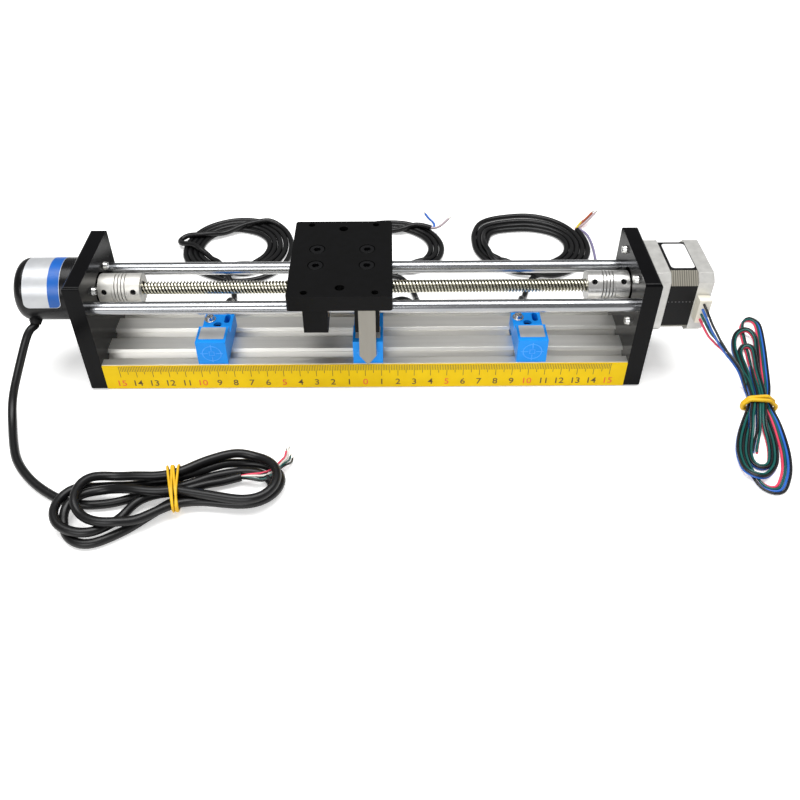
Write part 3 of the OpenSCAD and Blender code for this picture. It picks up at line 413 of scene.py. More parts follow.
for nodeName, material in finishes.items():
    nodes[nodeName].data.materials.clear()
    nodes[nodeName].data.materials.append(material)
print("materials made")


# ---- Lead screw: four starts of trapezoidal thread cut as one surface ----

# A pair of the profile is a corner of the tooth and the share of the pitch gained past it
leadScrew = {"length": 288.0, "axis": 56.0, "crest": 4.0, "root": 2.85, "pitch": 2.0, "lead": 8.0,
             "sides": 40, "profile": ((0.5, 0.3), (1.5, 0.1675), (2.5, 0.365)), "fade": 0.4}


def makeLeadScrew(s):
    tree, given = newTree("trapezoidalThread", rows="Int", sides="Int", length="Float", pitch="Float",
                          lead="Float", crest="Float", root="Float", axis="Float")
    add, less, times, over = sumsIn(tree)
    grid = addNode(tree, "GeometryNodeMeshGrid", {
        "Size X": 1.0, "Size Y": 1.0, "Vertices X": given["rows"], "Vertices Y": add(given["sides"], 1)})
    spot = addNode(tree, "GeometryNodeInputPosition").outputs[0]
    flat = addNode(tree, "ShaderNodeSeparateXYZ", {0: spot})
    row = maths(tree, "ROUND", times(add(flat.outputs[0], 0.5), less(given["rows"], 1)))
    around = add(flat.outputs[1], 0.5)
    corner = maths(tree, "MODULO", row, 4)  # root, root, crest, crest
    share = [times(maths(tree, "GREATER_THAN", corner, edge), gain) for edge, gain in s["profile"]]
    offset = add(add(share[0], share[1]), share[2])
    turns = add(maths(tree, "FLOOR", over(row, 4)), offset)
    half = over(given["length"], 2)
    along = add(times(turns, given["pitch"]), times(given["lead"], less(around, 1)))
    x = less(along, half)
    beyond = over(less(maths(tree, "ABSOLUTE", x), half), s["fade"] * mm)
    kept = maths(tree, "MAXIMUM", maths(tree, "MINIMUM", less(1, beyond), 1), 0)
    rise = times(less(given["crest"], given["root"]), maths(tree, "GREATER_THAN", corner, 1.5))
    radius = times(add(given["root"], rise), kept)
    angle = times(around, 2 * math.pi)
    held = maths(tree, "MAXIMUM", maths(tree, "MINIMUM", x, half), times(half, -1))
    spot = addNode(tree, "ShaderNodeCombineXYZ", {
        0: held, 1: times(radius, maths(tree, "COSINE", angle)),
        2: add(given["axis"], times(radius, maths(tree, "SINE", angle)))})
    wound = addNode(tree, "GeometryNodeSetPosition", {"Geometry": grid.outputs[0],
                                                      "Position": spot.outputs[0]})
    merged = addNode(tree, "GeometryNodeMergeByDistance", {"Geometry": wound.outputs[0],
                                                           "Distance": 0.000002})
    turned = addNode(tree, "GeometryNodeFlipFaces", {0: merged.outputs[0]})
    endTree(tree, turned.outputs[0], screwSteel)
    values = {k: s[k] * mm for k in ("length", "pitch", "lead", "crest", "root", "axis")}
    values["rows"] = 4 * math.ceil((s["length"] + s["lead"]) / s["pitch"]) + 1
    values["sides"] = s["sides"]
    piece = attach(grown("lead_screw_thread", tree, values), "spindle")
    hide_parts("lead_screw")


makeLeadScrew(leadScrew)
print("thread cut")

# ---- Ruler: printed ticks and figures ----

rulerMarks = {"face": -30.53, "top": 19.25, "count": 301, "pitch": 1.0, "width": 0.34, "short": 4.4,
              "middle": 6.6, "long": 9.0, "figure": 4.7, "foot": 3.2, "bold": 0.012,
              "capital": 0.72}


def makeTicks(s):
    tree, given = newTree("rulerTicks", count="Int", pitch="Float", width="Float", short="Float",
                          middle="Float", long="Float", top="Float", face="Float")
    add, less, times, over = sumsIn(tree)
    number = addNode(tree, "GeometryNodeInputIndex").outputs[0]
    start = times(times(less(given["count"], 1), -0.5), given["pitch"])
    line = addNode(tree, "GeometryNodeMeshLine", {"Count": given["count"]}, mode="OFFSET")
    fifth, tenth = (maths(tree, "LESS_THAN", maths(tree, "MODULO", number, n), 0.5) for n in (5, 10))
    tall = add(given["short"], times(fifth, less(given["middle"], given["short"])))
    tall = add(tall, times(tenth, less(given["long"], given["middle"])))
    spot = addNode(tree, "ShaderNodeCombineXYZ", {
        0: add(start, times(number, given["pitch"])), 1: given["face"],
        2: less(given["top"], over(tall, 2))})
    placed = addNode(tree, "GeometryNodeSetPosition", {"Geometry": line.outputs[0],
                                                       "Position": spot.outputs[0]})
    stroke = addNode(tree, "GeometryNodeMeshGrid", {"Size X": 1.0, "Size Y": 1.0, "Vertices X": 2,
                                                    "Vertices Y": 2})
    size = addNode(tree, "ShaderNodeCombineXYZ", {0: given["width"], 1: tall, 2: 1.0})
    strokes = addNode(tree, "GeometryNodeInstanceOnPoints", {
        "Points": placed.outputs[0], "Instance": stroke.outputs[0], "Rotation": (math.pi / 2, 0, 0),
        "Scale": size.outputs[0]})
    endTree(tree, strokes.outputs[0], inkBrown)
    values = {k: s[k] * mm for k in ("pitch", "width", "short", "middle", "long", "top", "face")}
    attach(grown("ruler_ticks", tree, {"count": s["count"], **values}), "frame")


def makeFigures(name, marks, material, s):
    points, faces = [], []
    for text, x in marks:
        letters = bpy.data.curves.new("letters", "FONT")
        letters.body, letters.align_x, letters.offset = text, "CENTER", s["bold"]
        shape = flattened(linkObject("letters", letters))
        co = np.array([v.co[:2] for v in shape.data.vertices])
        co = (co - [co[:, 0].min() / 2 + co[:, 0].max() / 2, 0]) * s["figure"] / s["capital"]
        first = len(points)
        points += [((x + u) * mm, s["face"] * mm, (s["foot"] + v) * mm) for u, v in co]
        faces += [[first + k for k in face.vertices] for face in shape.data.polygons]
        bpy.data.objects.remove(shape)
    meshPiece(name, points, faces, material, "frame")


makeTicks(rulerMarks)
figures = [(str(abs(k)), 10 * k) for k in range(-15, 16)]
makeFigures("ruler_figures_brown", [f for f in figures if f[1] % 50], inkBrown, rulerMarks)
makeFigures("ruler_figures_red", [f for f in figures if not f[1] % 50], inkRed, rulerMarks)
print("ruler printed")

# ---- Bare labels ----

labels = {"encoder": {"from": -200.2, "to": -178.4, "blue": -185.4, "axis": 56.0, "radius": 19.04,
                      "low": -1.0, "high": 150.0, "corner": 3.0},
          "motor": {"corners": (179.6, -12.3, 193.5, 12.8), "z": 77.19, "corner": 2.0},
          "sensor": {"width": 15.0, "back": -15.2, "front": -26.2, "z": 37.03, "corner": 0.6}}


# A thin film, put(u, v) giving the place of a point u across and v along in millimetres
def labelPiece(name, width, height, cornersLeft, cornersRight, put, material, body, cuts=30):
    cut = max(cornersLeft, cornersRight)
    bends = [cut * (1 - math.cos(math.pi / 2 * k / 6)) for k in range(6)]
    rows = bends + list(np.linspace(cut, height - cut, cuts)) + [height - b for b in bends[::-1]]

    def inset(v, corner):
        near = min(v, height - v)
        return corner - math.sqrt(max(0, corner ** 2 - (corner - near) ** 2)) if near < corner else 0
    points = [np.array(put(u, v)) * mm for v in rows
              for u in (inset(v, cornersLeft), width - inset(v, cornersRight))]
    faces = [(2 * k, 2 * k + 1, 2 * k + 3, 2 * k + 2) for k in range(len(rows) - 1)]
    return meshPiece(name, points, faces, material, body)


def makeLabels(e, m, n):
    def wrapped(start, lift):
        def put(u, v):
            a = math.radians(e["low"]) + v / e["radius"]
            r = e["radius"] + lift
            return start + u, -r * math.cos(a), e["axis"] + r * math.sin(a)
        return put
    long = math.radians(e["high"] - e["low"]) * e["radius"]
    labelPiece("encoder_label", e["to"] - e["from"], long, e["corner"], e["corner"],
               wrapped(e["from"], 0), labelFilm, "frame")
    labelPiece("encoder_label_band", e["to"] - e["blue"] - 0.25, long - 0.5, 0.01, e["corner"],
               lambda u, v: wrapped(e["blue"], 0.02)(u, v + 0.25), blueFilm, "frame")
    x0, y0, x1, y1 = m["corners"]
    labelPiece("motor_label", x1 - x0, y1 - y0, m["corner"], m["corner"],
               lambda u, v: (x0 + u, y0 + v, m["z"]), labelPaper, "frame", 2)
    for side in ("left", "middle", "right"):
        low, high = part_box("sensor_" + side)
        start = (low[0] + high[0]) / 2 / mm - n["width"] / 2
        labelPiece("sensor_label_" + side, n["width"], n["back"] - n["front"], n["corner"], n["corner"],
                   lambda u, v: (start + u, n["front"] + v, n["z"]), labelFilm, "frame", 2)


makeLabels(labels["encoder"], labels["motor"], labels["sensor"])

# ---- Moulded marks and lamps of the sensors ----

sensorMarks = {"face": -29.5, "height": 28.4, "ring": 5.6, "arm": (2.4, 6.8), "square": 1.5,
               "ridge": 0.62, "lampPlace": (0, -5.2, 29.06), "lamp": 2.3}


def makeSensorMarks(s):
    turn = np.linspace(0, 2 * math.pi, 40, endpoint=False)
    for side in ("left", "middle", "right"):
        low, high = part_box("sensor_" + side)
        middle = (low[0] + high[0]) / 2 / mm
        ring = [(math.cos(a) * s["ring"], math.sin(a) * s["ring"]) for a in turn]
        strokes = [(ring, True), ([(q * s["square"], r * s["square"])
                                   for q, r in ((-1, -1), (1, -1), (1, 1), (-1, 1))], True)]
        strokes += [([(q * s["arm"][0], r * s["arm"][0]), (q * s["arm"][1], r * s["arm"][1])], False)
                    for q, r in ((1, 0), (-1, 0), (0, 1), (0, -1))]
        curve = bpy.data.curves.new("mark", "CURVE")
        curve.dimensions = "3D"
        curve.bevel_depth, curve.bevel_resolution, curve.use_fill_caps = s["ridge"] / 2 * mm, 2, True
        for stroke, closed in strokes:
            spline = curve.splines.new("POLY")
            spline.points.add(len(stroke) - 1)
            for point, (u, v) in zip(spline.points, stroke):
                point.co = ((middle + u) * mm, (s["face"] + 0.06) * mm, (s["height"] + v) * mm, 1)
            spline.use_cyclic_u = closed
        # the raised lines take the lighter blue, a painted highlight on the same plastic
        piece = flattened(linkObject("sensor_mark_" + side, curve, litRidgeBlue), 60)
        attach(piece, "frame")
        x, y, z = s["lampPlace"]
        dome = [((middle + x) * mm, y * mm, (z + 0.7) * mm)]
        for k in range(1, 6):
            a = math.pi / 2 * k / 5
            dome += [((middle + x + s["lamp"] * math.sin(a) * math.cos(t)) * mm,
                      (y + s["lamp"] * math.sin(a) * math.sin(t)) * mm, (z + 0.7 * math.cos(a)) * mm)
                     for t in turn[::2]]
        n = len(turn[::2])
        faces = [(0, 1 + k, 1 + (k + 1) % n) for k in range(n)]
        faces += [(1 + ring * n + k, 1 + (ring + 1) * n + k, 1 + (ring + 1) * n + (k + 1) % n,
                   1 + ring * n + (k + 1) % n) for ring in range(4) for k in range(n)]
        meshPiece("sensor_lamp_" + side, dome, faces, lampLens, "frame", 60)


makeSensorMarks(sensorMarks)
print("labels and marks made")


# ---- Cords ----

def smoothThrough(points, step):  # a smooth line through the points, evenly spaced
    p = np.array(points, float)
    t = np.concatenate([[0], np.cumsum(np.linalg.norm(np.diff(p[:, :3], axis=0), axis=1) ** 0.5)])
    h = np.diff(t)
    n = len(p)
    a, b = np.zeros((n, n)), np.zeros(p.shape)
    a[0, 0] = a[-1, -1] = 1
    for i in range(1, n - 1):
        a[i, i - 1:i + 2] = h[i - 1], 2 * (h[i - 1] + h[i]), h[i]
        b[i] = 3 * ((p[i + 1] - p[i]) / h[i] - (p[i] - p[i - 1]) / h[i - 1])
    c = np.linalg.solve(a, b)
    fine = []
    for i in range(n - 1):
        u = np.linspace(0, h[i], 40, endpoint=False)[:, None]
        slope = (p[i + 1] - p[i]) / h[i] - h[i] * (2 * c[i] + c[i + 1]) / 3
        fine.append(p[i] + slope * u + c[i] * u ** 2 + (c[i + 1] - c[i]) / (3 * h[i]) * u ** 3)
    return evenly(np.vstack(fine + [p[-1:]]), step)


def evenly(line, step):
    along = np.concatenate([[0], np.cumsum(np.linalg.norm(np.diff(line[:, :3], axis=0), axis=1))])
    at = np.linspace(0, along[-1], max(8, round(along[-1] / step)))
    return np.stack([np.interp(at, along, line[:, k]) for k in range(line.shape[1])], axis=1)


# Columns are x, y, least z and order. A strand lies on every strand of lower order that it crosses,
# and rises to it in a long low hump.
def layDown(lines, radii, spacing, rounds=14):
    x, y, low, order = np.vstack(lines).T
    r = np.concatenate([np.full(len(l), q) for l, q in zip(lines, radii)])
    which = np.concatenate([np.full(len(l), k) for k, l in enumerate(lines)])
    along = np.concatenate([np.arange(len(l)) * spacing for l in lines])
    far = np.hypot(x[:, None] - x, y[:, None] - y)
    reach = r[:, None] + r
    other = (which[:, None] != which) | (abs(along[:, None] - along) > 3.2 * reach)
    lying = low < 5  # what hangs above the floor stays as it is
    other &= lying[:, None] & lying
    i, j = np.nonzero((far < reach) & other & (order < order[:, None] - 0.004))
    rise = np.sqrt(reach[i, j] ** 2 - far[i, j] ** 2)
    ends = np.cumsum([0] + [len(l) for l in lines])
    z = low.copy()
    for _ in range(rounds):
        need = low.copy()
        np.maximum.at(need, i, z[j] + rise)
        for a, b, q in zip(ends[:-1], ends[1:], radii):
            z[a:b] = np.maximum(eased(need[a:b], max(3, round(3.4 * q / spacing))), low[a:b])
    return [np.column_stack([x[a:b], y[a:b], z[a:b]]) for a, b in zip(ends[:-1], ends[1:])]


def eased(height, reach):  # an upper envelope, then rounded off
    wide = np.pad(height, reach, mode="edge")
    top = np.max([wide[k:k + len(height)] for k in range(2 * reach + 1)], axis=0)
    bell = np.exp(-0.5 * (np.arange(-reach, reach + 1) / (0.5 * reach)) ** 2)
    return np.convolve(np.pad(top, reach, mode="edge"), bell / bell.sum(), mode="valid")


def cordPiece(name, line, diameter, material, sides=4):  # the line is in millimetres
    curve = bpy.data.curves.new(name, "CURVE")
    curve.dimensions = "3D"
    curve.bevel_depth = diameter / 2 * mm
    curve.bevel_resolution = sides
    curve.use_fill_caps = True
    spline = curve.splines.new("POLY")
    spline.points.add(len(line) - 1)
    spline.points.foreach_set("co", np.column_stack([np.array(line) * mm, np.ones(len(line))]).ravel())
    spline.use_smooth = True
    return linkObject(name, curve, material)


def lengthOf(line):
    return float(np.linalg.norm(np.diff(line, axis=0), axis=1).sum()) * mm


def wireTail(name, line, diameter, colour, bare=2.6):  # a wire end with its stripped strand
    line[:, 2] = np.maximum(line[:, 2], diameter / 2 + 0.05)
    wire = cordPiece(name, line, diameter, wirePvc[colour], 2)
    ahead = (line[-1] - line[-3]) / np.linalg.norm(line[-1] - line[-3])
    strand = [line[-1] - ahead, line[-1] + ahead * bare / 2, line[-1] + ahead * bare]
    tip = cordPiece(name + "_strand", np.array(strand), diameter * 0.55, strandCopper, 2)
    return [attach(wire, "frame"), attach(tip, "frame")]


# Passes that touch push each other apart, round after round, while the line stays smooth and is
# pulled towards its goal; what comes before the first point stays where it is
def settled(line, goal, first, least, s):
    p, index = line[:, :3].copy(), np.arange(len(line))
    apart = abs(index[:, None] - index) * step > s["apart"]
    for turn in range(s["rounds"]):
        between = p[:, None] - p
        distance = np.linalg.norm(between, axis=2)
        i, j = np.nonzero((distance < s["gap"]) & apart)
        away = between[i, j] / np.maximum(distance[i, j], 1e-6)[:, None]
        push, touches = np.zeros_like(p), np.zeros(len(p))
        np.add.at(push, i, away * (s["gap"] - distance[i, j])[:, None] * 0.5)
        np.add.at(touches, i, 1)
        p += push / np.maximum(touches, 1)[:, None] * s["push"]
        q = p.copy()
        q[2:-2] = (-p[:-4] + 4 * p[1:-3] + 10 * p[2:-2] + 4 * p[3:-1] - p[4:]) / 16
        if s["level"]:
            q[1:-1, 2] = (p[:-2, 2] + 2 * p[1:-1, 2] + p[2:, 2]) / 4
        p += (q - p) * s["smooth"]
        p += (goal - p) * s["pull"]
        if turn >= s["rounds"] - s["easing"]:
            p += eases(p, first, s["bend"])
        p[:, 2] = np.maximum(p[:, 2], least)
        p[:first] = line[:first, :3]
    return p


def eases(p, first, bend):  # how far each point of a bend tighter than this gives way
    way = np.diff(p, axis=0)
    length = np.linalg.norm(way, axis=1)
    way /= length[:, None]
    turned = np.arccos(np.clip((way[1:] * way[:-1]).sum(1), -1, 1))
    radius = np.full(len(p), 99.0)
    radius[1:-1] = (length[1:] + length[:-1]) / 2 / np.maximum(turned, 1e-4)
    tight = np.clip((bend - radius) / 2, 0, 1)
    tight[:first + 1] = tight[-3:] = 0
    tight = np.convolve(np.pad(tight, 2, mode="edge"), [0.5, 0.8, 1, 0.8, 0.5], mode="valid").clip(0, 1)
    q = p.copy()
    q[2:-2] = (p[:-4] + p[1:-3] + p[3:-1] + p[4:]) / 4
    return (q - p) * 0.45 * tight[:, None]


def settledRows(line, goal, first, begin, least, s):  # every fourth point and the last, to a tenth
    p = settled(line, goal, first, least, s)
    kept = [*range(begin, len(p) - s["endGap"], rowEvery), len(p) - 1]
    return [tuple(row) for row in np.round(np.column_stack([p, line[:, 3:]])[kept], 1)]


def flatRows(rows, lift):  # x, y, order rows lie at the least height
    return [(x, y, lift, order) for x, y, order in rows]


step = 2.0  # spacing of the points along a cord
rowEvery = 4  # points from one settled row to the next

encoderCable = {"diameter": 5.0, "lift": 2.6,
    "bandPlace": (-100.5, -116), "bandLift": 1.3, "bandReach": 22,
    "route": [
        (-199, -15.56, 40.44), (-199, -16.36, 39.64), (-200.4, -18.7, 37.1), (-202.7, -23, 31.5),
        (-205, -28, 25), (-207, -33, 18.8), (-208.9, -38.5, 12.6), (-210.2, -45, 7.3),
        (-209.9, -52.5, 4), (-207.8, -61, 2.7), (-204.7, -70, 2.6), (-201, -79, 2.6),
        (-196.6, -88, 2.6), (-190.9, -96, 2.6), (-183.8, -103.5, 2.6), (-175.5, -110.3, 2.6),
        (-166, -116.3, 2.6), (-160, -119, 2.6)],
    "hank": [
        (-150, -121.6, 0), (-141, -121.8, 0), (-131, -120.3, 0), (-121, -116.8, 0.1),
        (-111, -113.2, 0.3), (-100.5, -110.9, 0.5), (-92, -107.8, 0.8), (-84.4, -104.2, 1),
        (-75.6, -101.3, 1), (-66, -99.8, 1), (-57.5, -101, 1), (-51.5, -105.5, 1), (-49.5, -111, 1),
        (-51.5, -116.3, 1), (-57, -119.4, 1), (-64, -120.3, 1), (-73, -119.4, 1), (-82, -118, 1),
        (-91, -118.6, 1.1), (-101, -121.3, 1.2), (-107, -125.8, 1.3), (-113.5, -131.3, 1.6),
        (-121.1, -137.6, 2), (-128.7, -142.4, 2), (-135.4, -145.7, 2), (-141.2, -146.7, 2),
        (-147.5, -145, 2), (-153, -140, 2), (-155.8, -133, 2), (-155, -125.5, 2), (-150.5, -119.5, 2),
        (-143.6, -116.3, 2), (-137.6, -115.2, 2), (-132, -115.7, 2.2), (-123.5, -117.6, 2.7),
        (-113.8, -119.3, 3.3), (-106, -119.4, 3.6), (-100.5, -118.7, 3.8), (-95.5, -119.4, 4.2),
        (-89, -120.8, 4.8), (-80, -122.6, 5), (-70.8, -124.4, 5), (-61.9, -125.4, 5), (-53.3, -123.3, 5),
        (-47.5, -116.8, 5), (-46.3, -108.6, 5), (-49.5, -100.8, 5), (-57, -95, 5), (-67, -92.6, 5),
        (-77, -94.8, 5), (-88.3, -99.9, 5), (-95, -104, 5.1), (-101, -107, 5.3), (-109, -108.6, 5.6),
        (-117, -108.6, 6), (-127.6, -107.7, 6), (-137.7, -107.4, 6), (-145.2, -109.9, 6),
        (-149.7, -114.9, 6), (-151, -122, 6), (-149.6, -128.6, 6), (-144.8, -134.6, 6),
        (-138.6, -138.3, 6), (-130.9, -139.6, 6), (-124.2, -138.6, 6), (-116.2, -135.8, 5.4),
        (-108.3, -131, 4.2), (-101, -126.4, 2.8), (-94.5, -123.8, 2.3), (-87, -122.7, 2.2),
        (-78, -123.2, 2.2), (-68, -124.3, 2.2), (-58, -123.9, 2.2), (-49.5, -119.6, 2.2),
        (-44.8, -111.5, 2.2), (-46, -103, 2.2), (-52, -96.5, 2.2), (-62, -93.6, 2.2), (-73, -94.8, 2.2),
        (-83, -98.8, 2.2), (-92, -102.8, 2.2), (-100.5, -105.8, 2.3), (-109, -107.8, 2.5),
        (-119, -108.9, 2.8), (-129, -109.4, 3), (-139, -109.4, 3), (-147, -110.7, 3),
        (-154.7, -114.5, 3), (-159.6, -119.8, 3), (-161.3, -126, 3), (-160.5, -132, 3),
        (-157.4, -137.3, 3), (-152.5, -141, 3), (-146.3, -143, 3), (-140.4, -143, 3),
        (-134.8, -140.4, 3), (-130.3, -135.8, 2.9), (-126.2, -130, 2.6), (-122, -124.6, 2.4),
        (-116.5, -120.2, 2.2), (-108.5, -117.3, 2), (-100.5, -116, 2), (-92.5, -113.4, 2),
        (-84.4, -109.8, 2.1), (-75.6, -107.2, 2.2), (-66.9, -104.6, 2.2)]}

encoderWires = {"diameter": 1.2, "rows": {
    "red": [(-67.5, -104.2), (-60, -103.2), (-53, -101.4), (-47.4, -96.3), (-45, -89), (-44.6, -83)],
    "white": [(-67.5, -104.7), (-60, -104.8), (-52.5, -103.4), (-46.2, -97), (-43.7, -90), (-43.2, -82)],
    "green": [(-67.5, -105.2), (-60, -106.6), (-52.5, -105.4), (-45.2, -98), (-42.2, -91.5), (-41.8, -87)],
    "black": [(-67.5, -105.6), (-60, -108), (-53, -107), (-45.6, -100), (-41, -94), (-40.4, -89)]}}


def withBandLift(line, s):  # the tied bundle stands a little higher than the band under it
    away = np.hypot(line[:, 0] - s["bandPlace"][0], line[:, 1] - s["bandPlace"][1])
    line[:, 2] = np.maximum(line[:, 2], s["lift"] + s["bandLift"] * np.exp(-(away / s["bandReach"]) ** 2))
    return line


def makeEncoderCable(s, w):
    rows = [(x, y, z, 0) for x, y, z in s["route"]] + flatRows(s["hank"], s["lift"])
    cable = withBandLift(smoothThrough(rows, step), s)
    wires = {k: smoothThrough([(x, y, 0.7, 2.5 + 0.02 * i) for x, y in rows], step)
             for i, (k, rows) in enumerate(w["rows"].items())}
    laid = layDown([cable] + list(wires.values()), [s["diameter"] / 2] + [w["diameter"] / 2] * 4, step)
    tails = []
    for (colour, _), line in zip(wires.items(), laid[1:]):
        line[:, 2] += (laid[0][-1][2] - line[0][2]) * np.linspace(1, 0, len(line)) ** 2
        tails += wireTail("encoder_wire_" + colour, line, w["diameter"], colour)
    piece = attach(cordPiece("encoder_cable", laid[0], s["diameter"], cablePvc), "frame")
    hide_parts("encoder_lead", "encoder_hank")
    return laid[0]


encoderLine = makeEncoderCable(encoderCable, encoderWires)
print("encoder cable laid,", round(lengthOf(encoderLine), 3), "m")

# Rows of the hank are x, y, layer and how flat the four wires lie side by side; elsewhere they run
# two over two
motorWires = {"diameter": 1.5, "lift": 1.6, "layer": 2.7,
    "bandPlace": (237.4, -49.8), "bandLift": 1.1, "bandReach": 22, "hankFrom": 38,
    "exits": {"black": 61.5, "blue": 57.8, "green": 54.2, "red": 50.5}, "exit": (197.7, -27.05),
    "side": [-1.5, -0.5, 0.5, 1.5], "bundle": [-0.5, -0.5, 0.5, 0.5], "deck": [0.5, -0.5, 0.5, -0.5],
    "joinsOver": 46, "lying": 4, "rising": 10, "fallEnds": 50, "lean": (0.77, 0.64),
    "hanging": 11, "route": [
        (197.7, -27.05, 56), (197.7, -30, 56), (199.4, -32.8, 53), (203, -34, 47), (206.7, -33.4, 42),
        (210.3, -32.5, 37), (214, -31.4, 32.5), (218, -30.2, 27.3), (222.8, -28.9, 21.5),
        (227.5, -28.4, 15.5), (231, -29.4, 10.5), (233, -32.4, 6.4)],
    "hank": [
        (235.1, -31.7, 0.3, 0), (234.6, -40.9, 0, 0), (233.2, -47.8, 0, 0), (226.9, -59.9, 0, 0),
        (218.9, -74.2, 0, 0), (214.5, -84.1, 0, 0), (212.3, -93.3, 0.3, 0), (212.4, -102.7, 1, 0),
        (216.6, -106.9, 1, 0), (223.9, -103.9, 0.3, 0), (230.4, -96.9, 0, 0), (234.3, -88, 0, 0),
        (236.7, -75.6, 0, 0), (237.8, -64, 0, 0), (238.8, -54.7, 0, 0), (239.8, -47.9, 0, 0),
        (243.1, -36.7, 0, 0), (247.6, -20.6, 0, 0), (252.3, -5.3, 0, 0), (255.7, 7.8, 0.4, 0),
        (255.5, 15.8, 1, 0), (251.9, 19.2, 1, 0), (246.3, 16.3, 0.6, 0), (241.7, 8.5, 0.1, 0),
        (239.2, -2.1, 0, 0), (238.4, -14.5, 0, 0), (237.3, -27, 0.2, 0), (235, -40.3, 0.8, 0),
        (233.2, -50.5, 1, 0), (228.8, -61.3, 1, 0), (225.5, -70.1, 0.4, 0), (222, -79.2, 0, 0),
        (219.1, -87.8, 0, 0), (218.1, -95, 0, 0), (220.2, -100, 0, 0), (224.5, -99.2, 0, 0),
        (228.7, -93.9, 0, 0), (231.9, -86.1, 0, 0), (234, -75.6, 0, 0), (234.8, -66.6, 0.5, 0),
        (236.6, -58.7, 1, 0), (239.8, -50.6, 1, 0), (242.5, -39.5, 1, 0), (245.4, -23.5, 1, 0),
        (249.2, -7.7, 0.8, 0), (250.8, 1.4, 1, 0), (249.3, 8.2, 1, 0), (245.3, 5.9, 0.4, 0),
        (242.4, -1.3, 0, 0), (240.6, -13, 0, 0), (239.2, -25, 0, 0), (238, -36.6, 0, 0),
        (236.5, -47.8, 0, 0), (229.6, -60, 0, 0), (222.6, -72.9, 0, 0), (217.7, -84.1, 0, 0),
        (215.7, -92.6, 0, 0), (216, -100.9, 0, 0.2), (217.3, -107.3, 0, 0.4), (219.7, -112.1, 0, 0.7),
        (223.6, -114.6, 0, 0.9), (228.5, -112.2, 0, 1), (234.3, -103.9, 0, 1), (238.4, -94, 0, 1),
        (241.2, -81.9, 0, 1), (242.8, -68, 0, 0.9), (243.1, -56.1, 0, 0.5), (243.4, -47.9, 0, 0.3),
        (247.4, -36.7, 0, 0.4), (251.4, -23.6, 0, 0.6), (254.7, -11.6, 0, 0.7), (258.6, 2.5, 0, 0.7),
        (262, 16.4, 0, 0.7), (264.2, 28.8, 0, 0.5), (262.9, 36.5, 0, 0.2), (256.7, 32.7, 0, -0.2),
        (251.8, 22.4, 0, -0.5), (249.2, 10.8, 0, -0.5), (247.1, -2.1, 0, -0.4), (244.7, -16.1, 0, -0.3),
        (242.1, -28.8, 0.3, 0), (239.5, -40.3, 0.8, 0), (236.5, -50.6, 1, 0), (233.9, -60.3, 0.6, 0),
        (231, -69.2, 0, 0), (226.2, -79.3, 0, 0.2), (222.7, -86.6, 0, 0.3)],
    "settle": {"rounds": 260, "gap": 3.1, "apart": 9, "push": 0.6, "smooth": 0.5,
               "pull": (0.03, 0.03, 0.03), "level": False, "easing": 69, "bend": 4.7, "endGap": 1}}


def besideLine(centre, across, up):  # moved sideways, and up
    way = np.gradient(centre[:, :2], axis=0)
    way /= np.maximum(np.linalg.norm(way, axis=1), 1e-9)[:, None]
    moved = centre[:, :3].copy()
    moved[:, 0] -= way[:, 1] * across
    moved[:, 1] += way[:, 0] * across
    moved[:, 2] += up
    return moved


def motorCentre(s):  # the common centre line of the four wires
    route = [(x, y, z, 0) for x, y, z in s["route"]]
    hank = [(x, y, s["lift"] + layer * s["layer"], flat) for x, y, layer, flat in s["hank"]]
    line = smoothThrough(route + hank, step)
    away = np.hypot(line[:, 0] - s["bandPlace"][0], line[:, 1] - s["bandPlace"][1])
    line[:, 2] += s["bandLift"] * np.exp(-(away / s["bandReach"]) ** 2)
    rows = settledRows(line, line[:, :3].copy(), s["hankFrom"], s["hankFrom"], s["lift"], s["settle"])
    return smoothThrough(route[:s["hanging"]] + rows, step)


def makeMotorWires(s):
    pitch = s["diameter"] + 0.05
    centre = motorCentre(s)
    flat = centre[:, 3]
    hanging = np.clip((centre[:, 2] - s["lying"]) / s["rising"], 0, 1)
    hanging[s["fallEnds"]:] = 0
    joining = np.clip(1 - np.arange(len(centre)) * step / s["joinsOver"], 0, 1)
    joining = joining ** 2 * (3 - 2 * joining)
    laid = []
    for k, (colour, exitZ) in enumerate(s["exits"].items()):
        across = pitch * (flat * s["side"][k] + (1 - abs(flat)) * s["bundle"][k])
        up = (1 - abs(flat)) * s["deck"][k] * pitch - abs(flat) * pitch / 2
        line = besideLine(centre, across, up)
        apart = (1 - joining) * pitch
        falling = centre[:, :3].copy()
        falling[:, 0] += s["deck"][k] * s["lean"][0] * apart
        falling[:, 1] += s["bundle"][k] * apart
        falling[:, 2] += s["deck"][k] * s["lean"][1] * apart + (exitZ - centre[0][2]) * joining
        line = line * (1 - hanging[:, None]) + falling * hanging[:, None]
        line[:, 2] = np.maximum(line[:, 2], s["diameter"] / 2 + 0.05)
        laid.append(line)
    for (colour, exitZ), line in zip(s["exits"].items(), laid):
        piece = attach(cordPiece("motor_wire_" + colour, line, s["diameter"], wirePvc[colour], 2), "frame")
        if colour == "black":
            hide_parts("motor_lead", "motor_hank")
    return laid


motorLines = makeMotorWires(motorWires)
print("motor wires laid,", round(lengthOf(motorLines[0]), 3), "m")

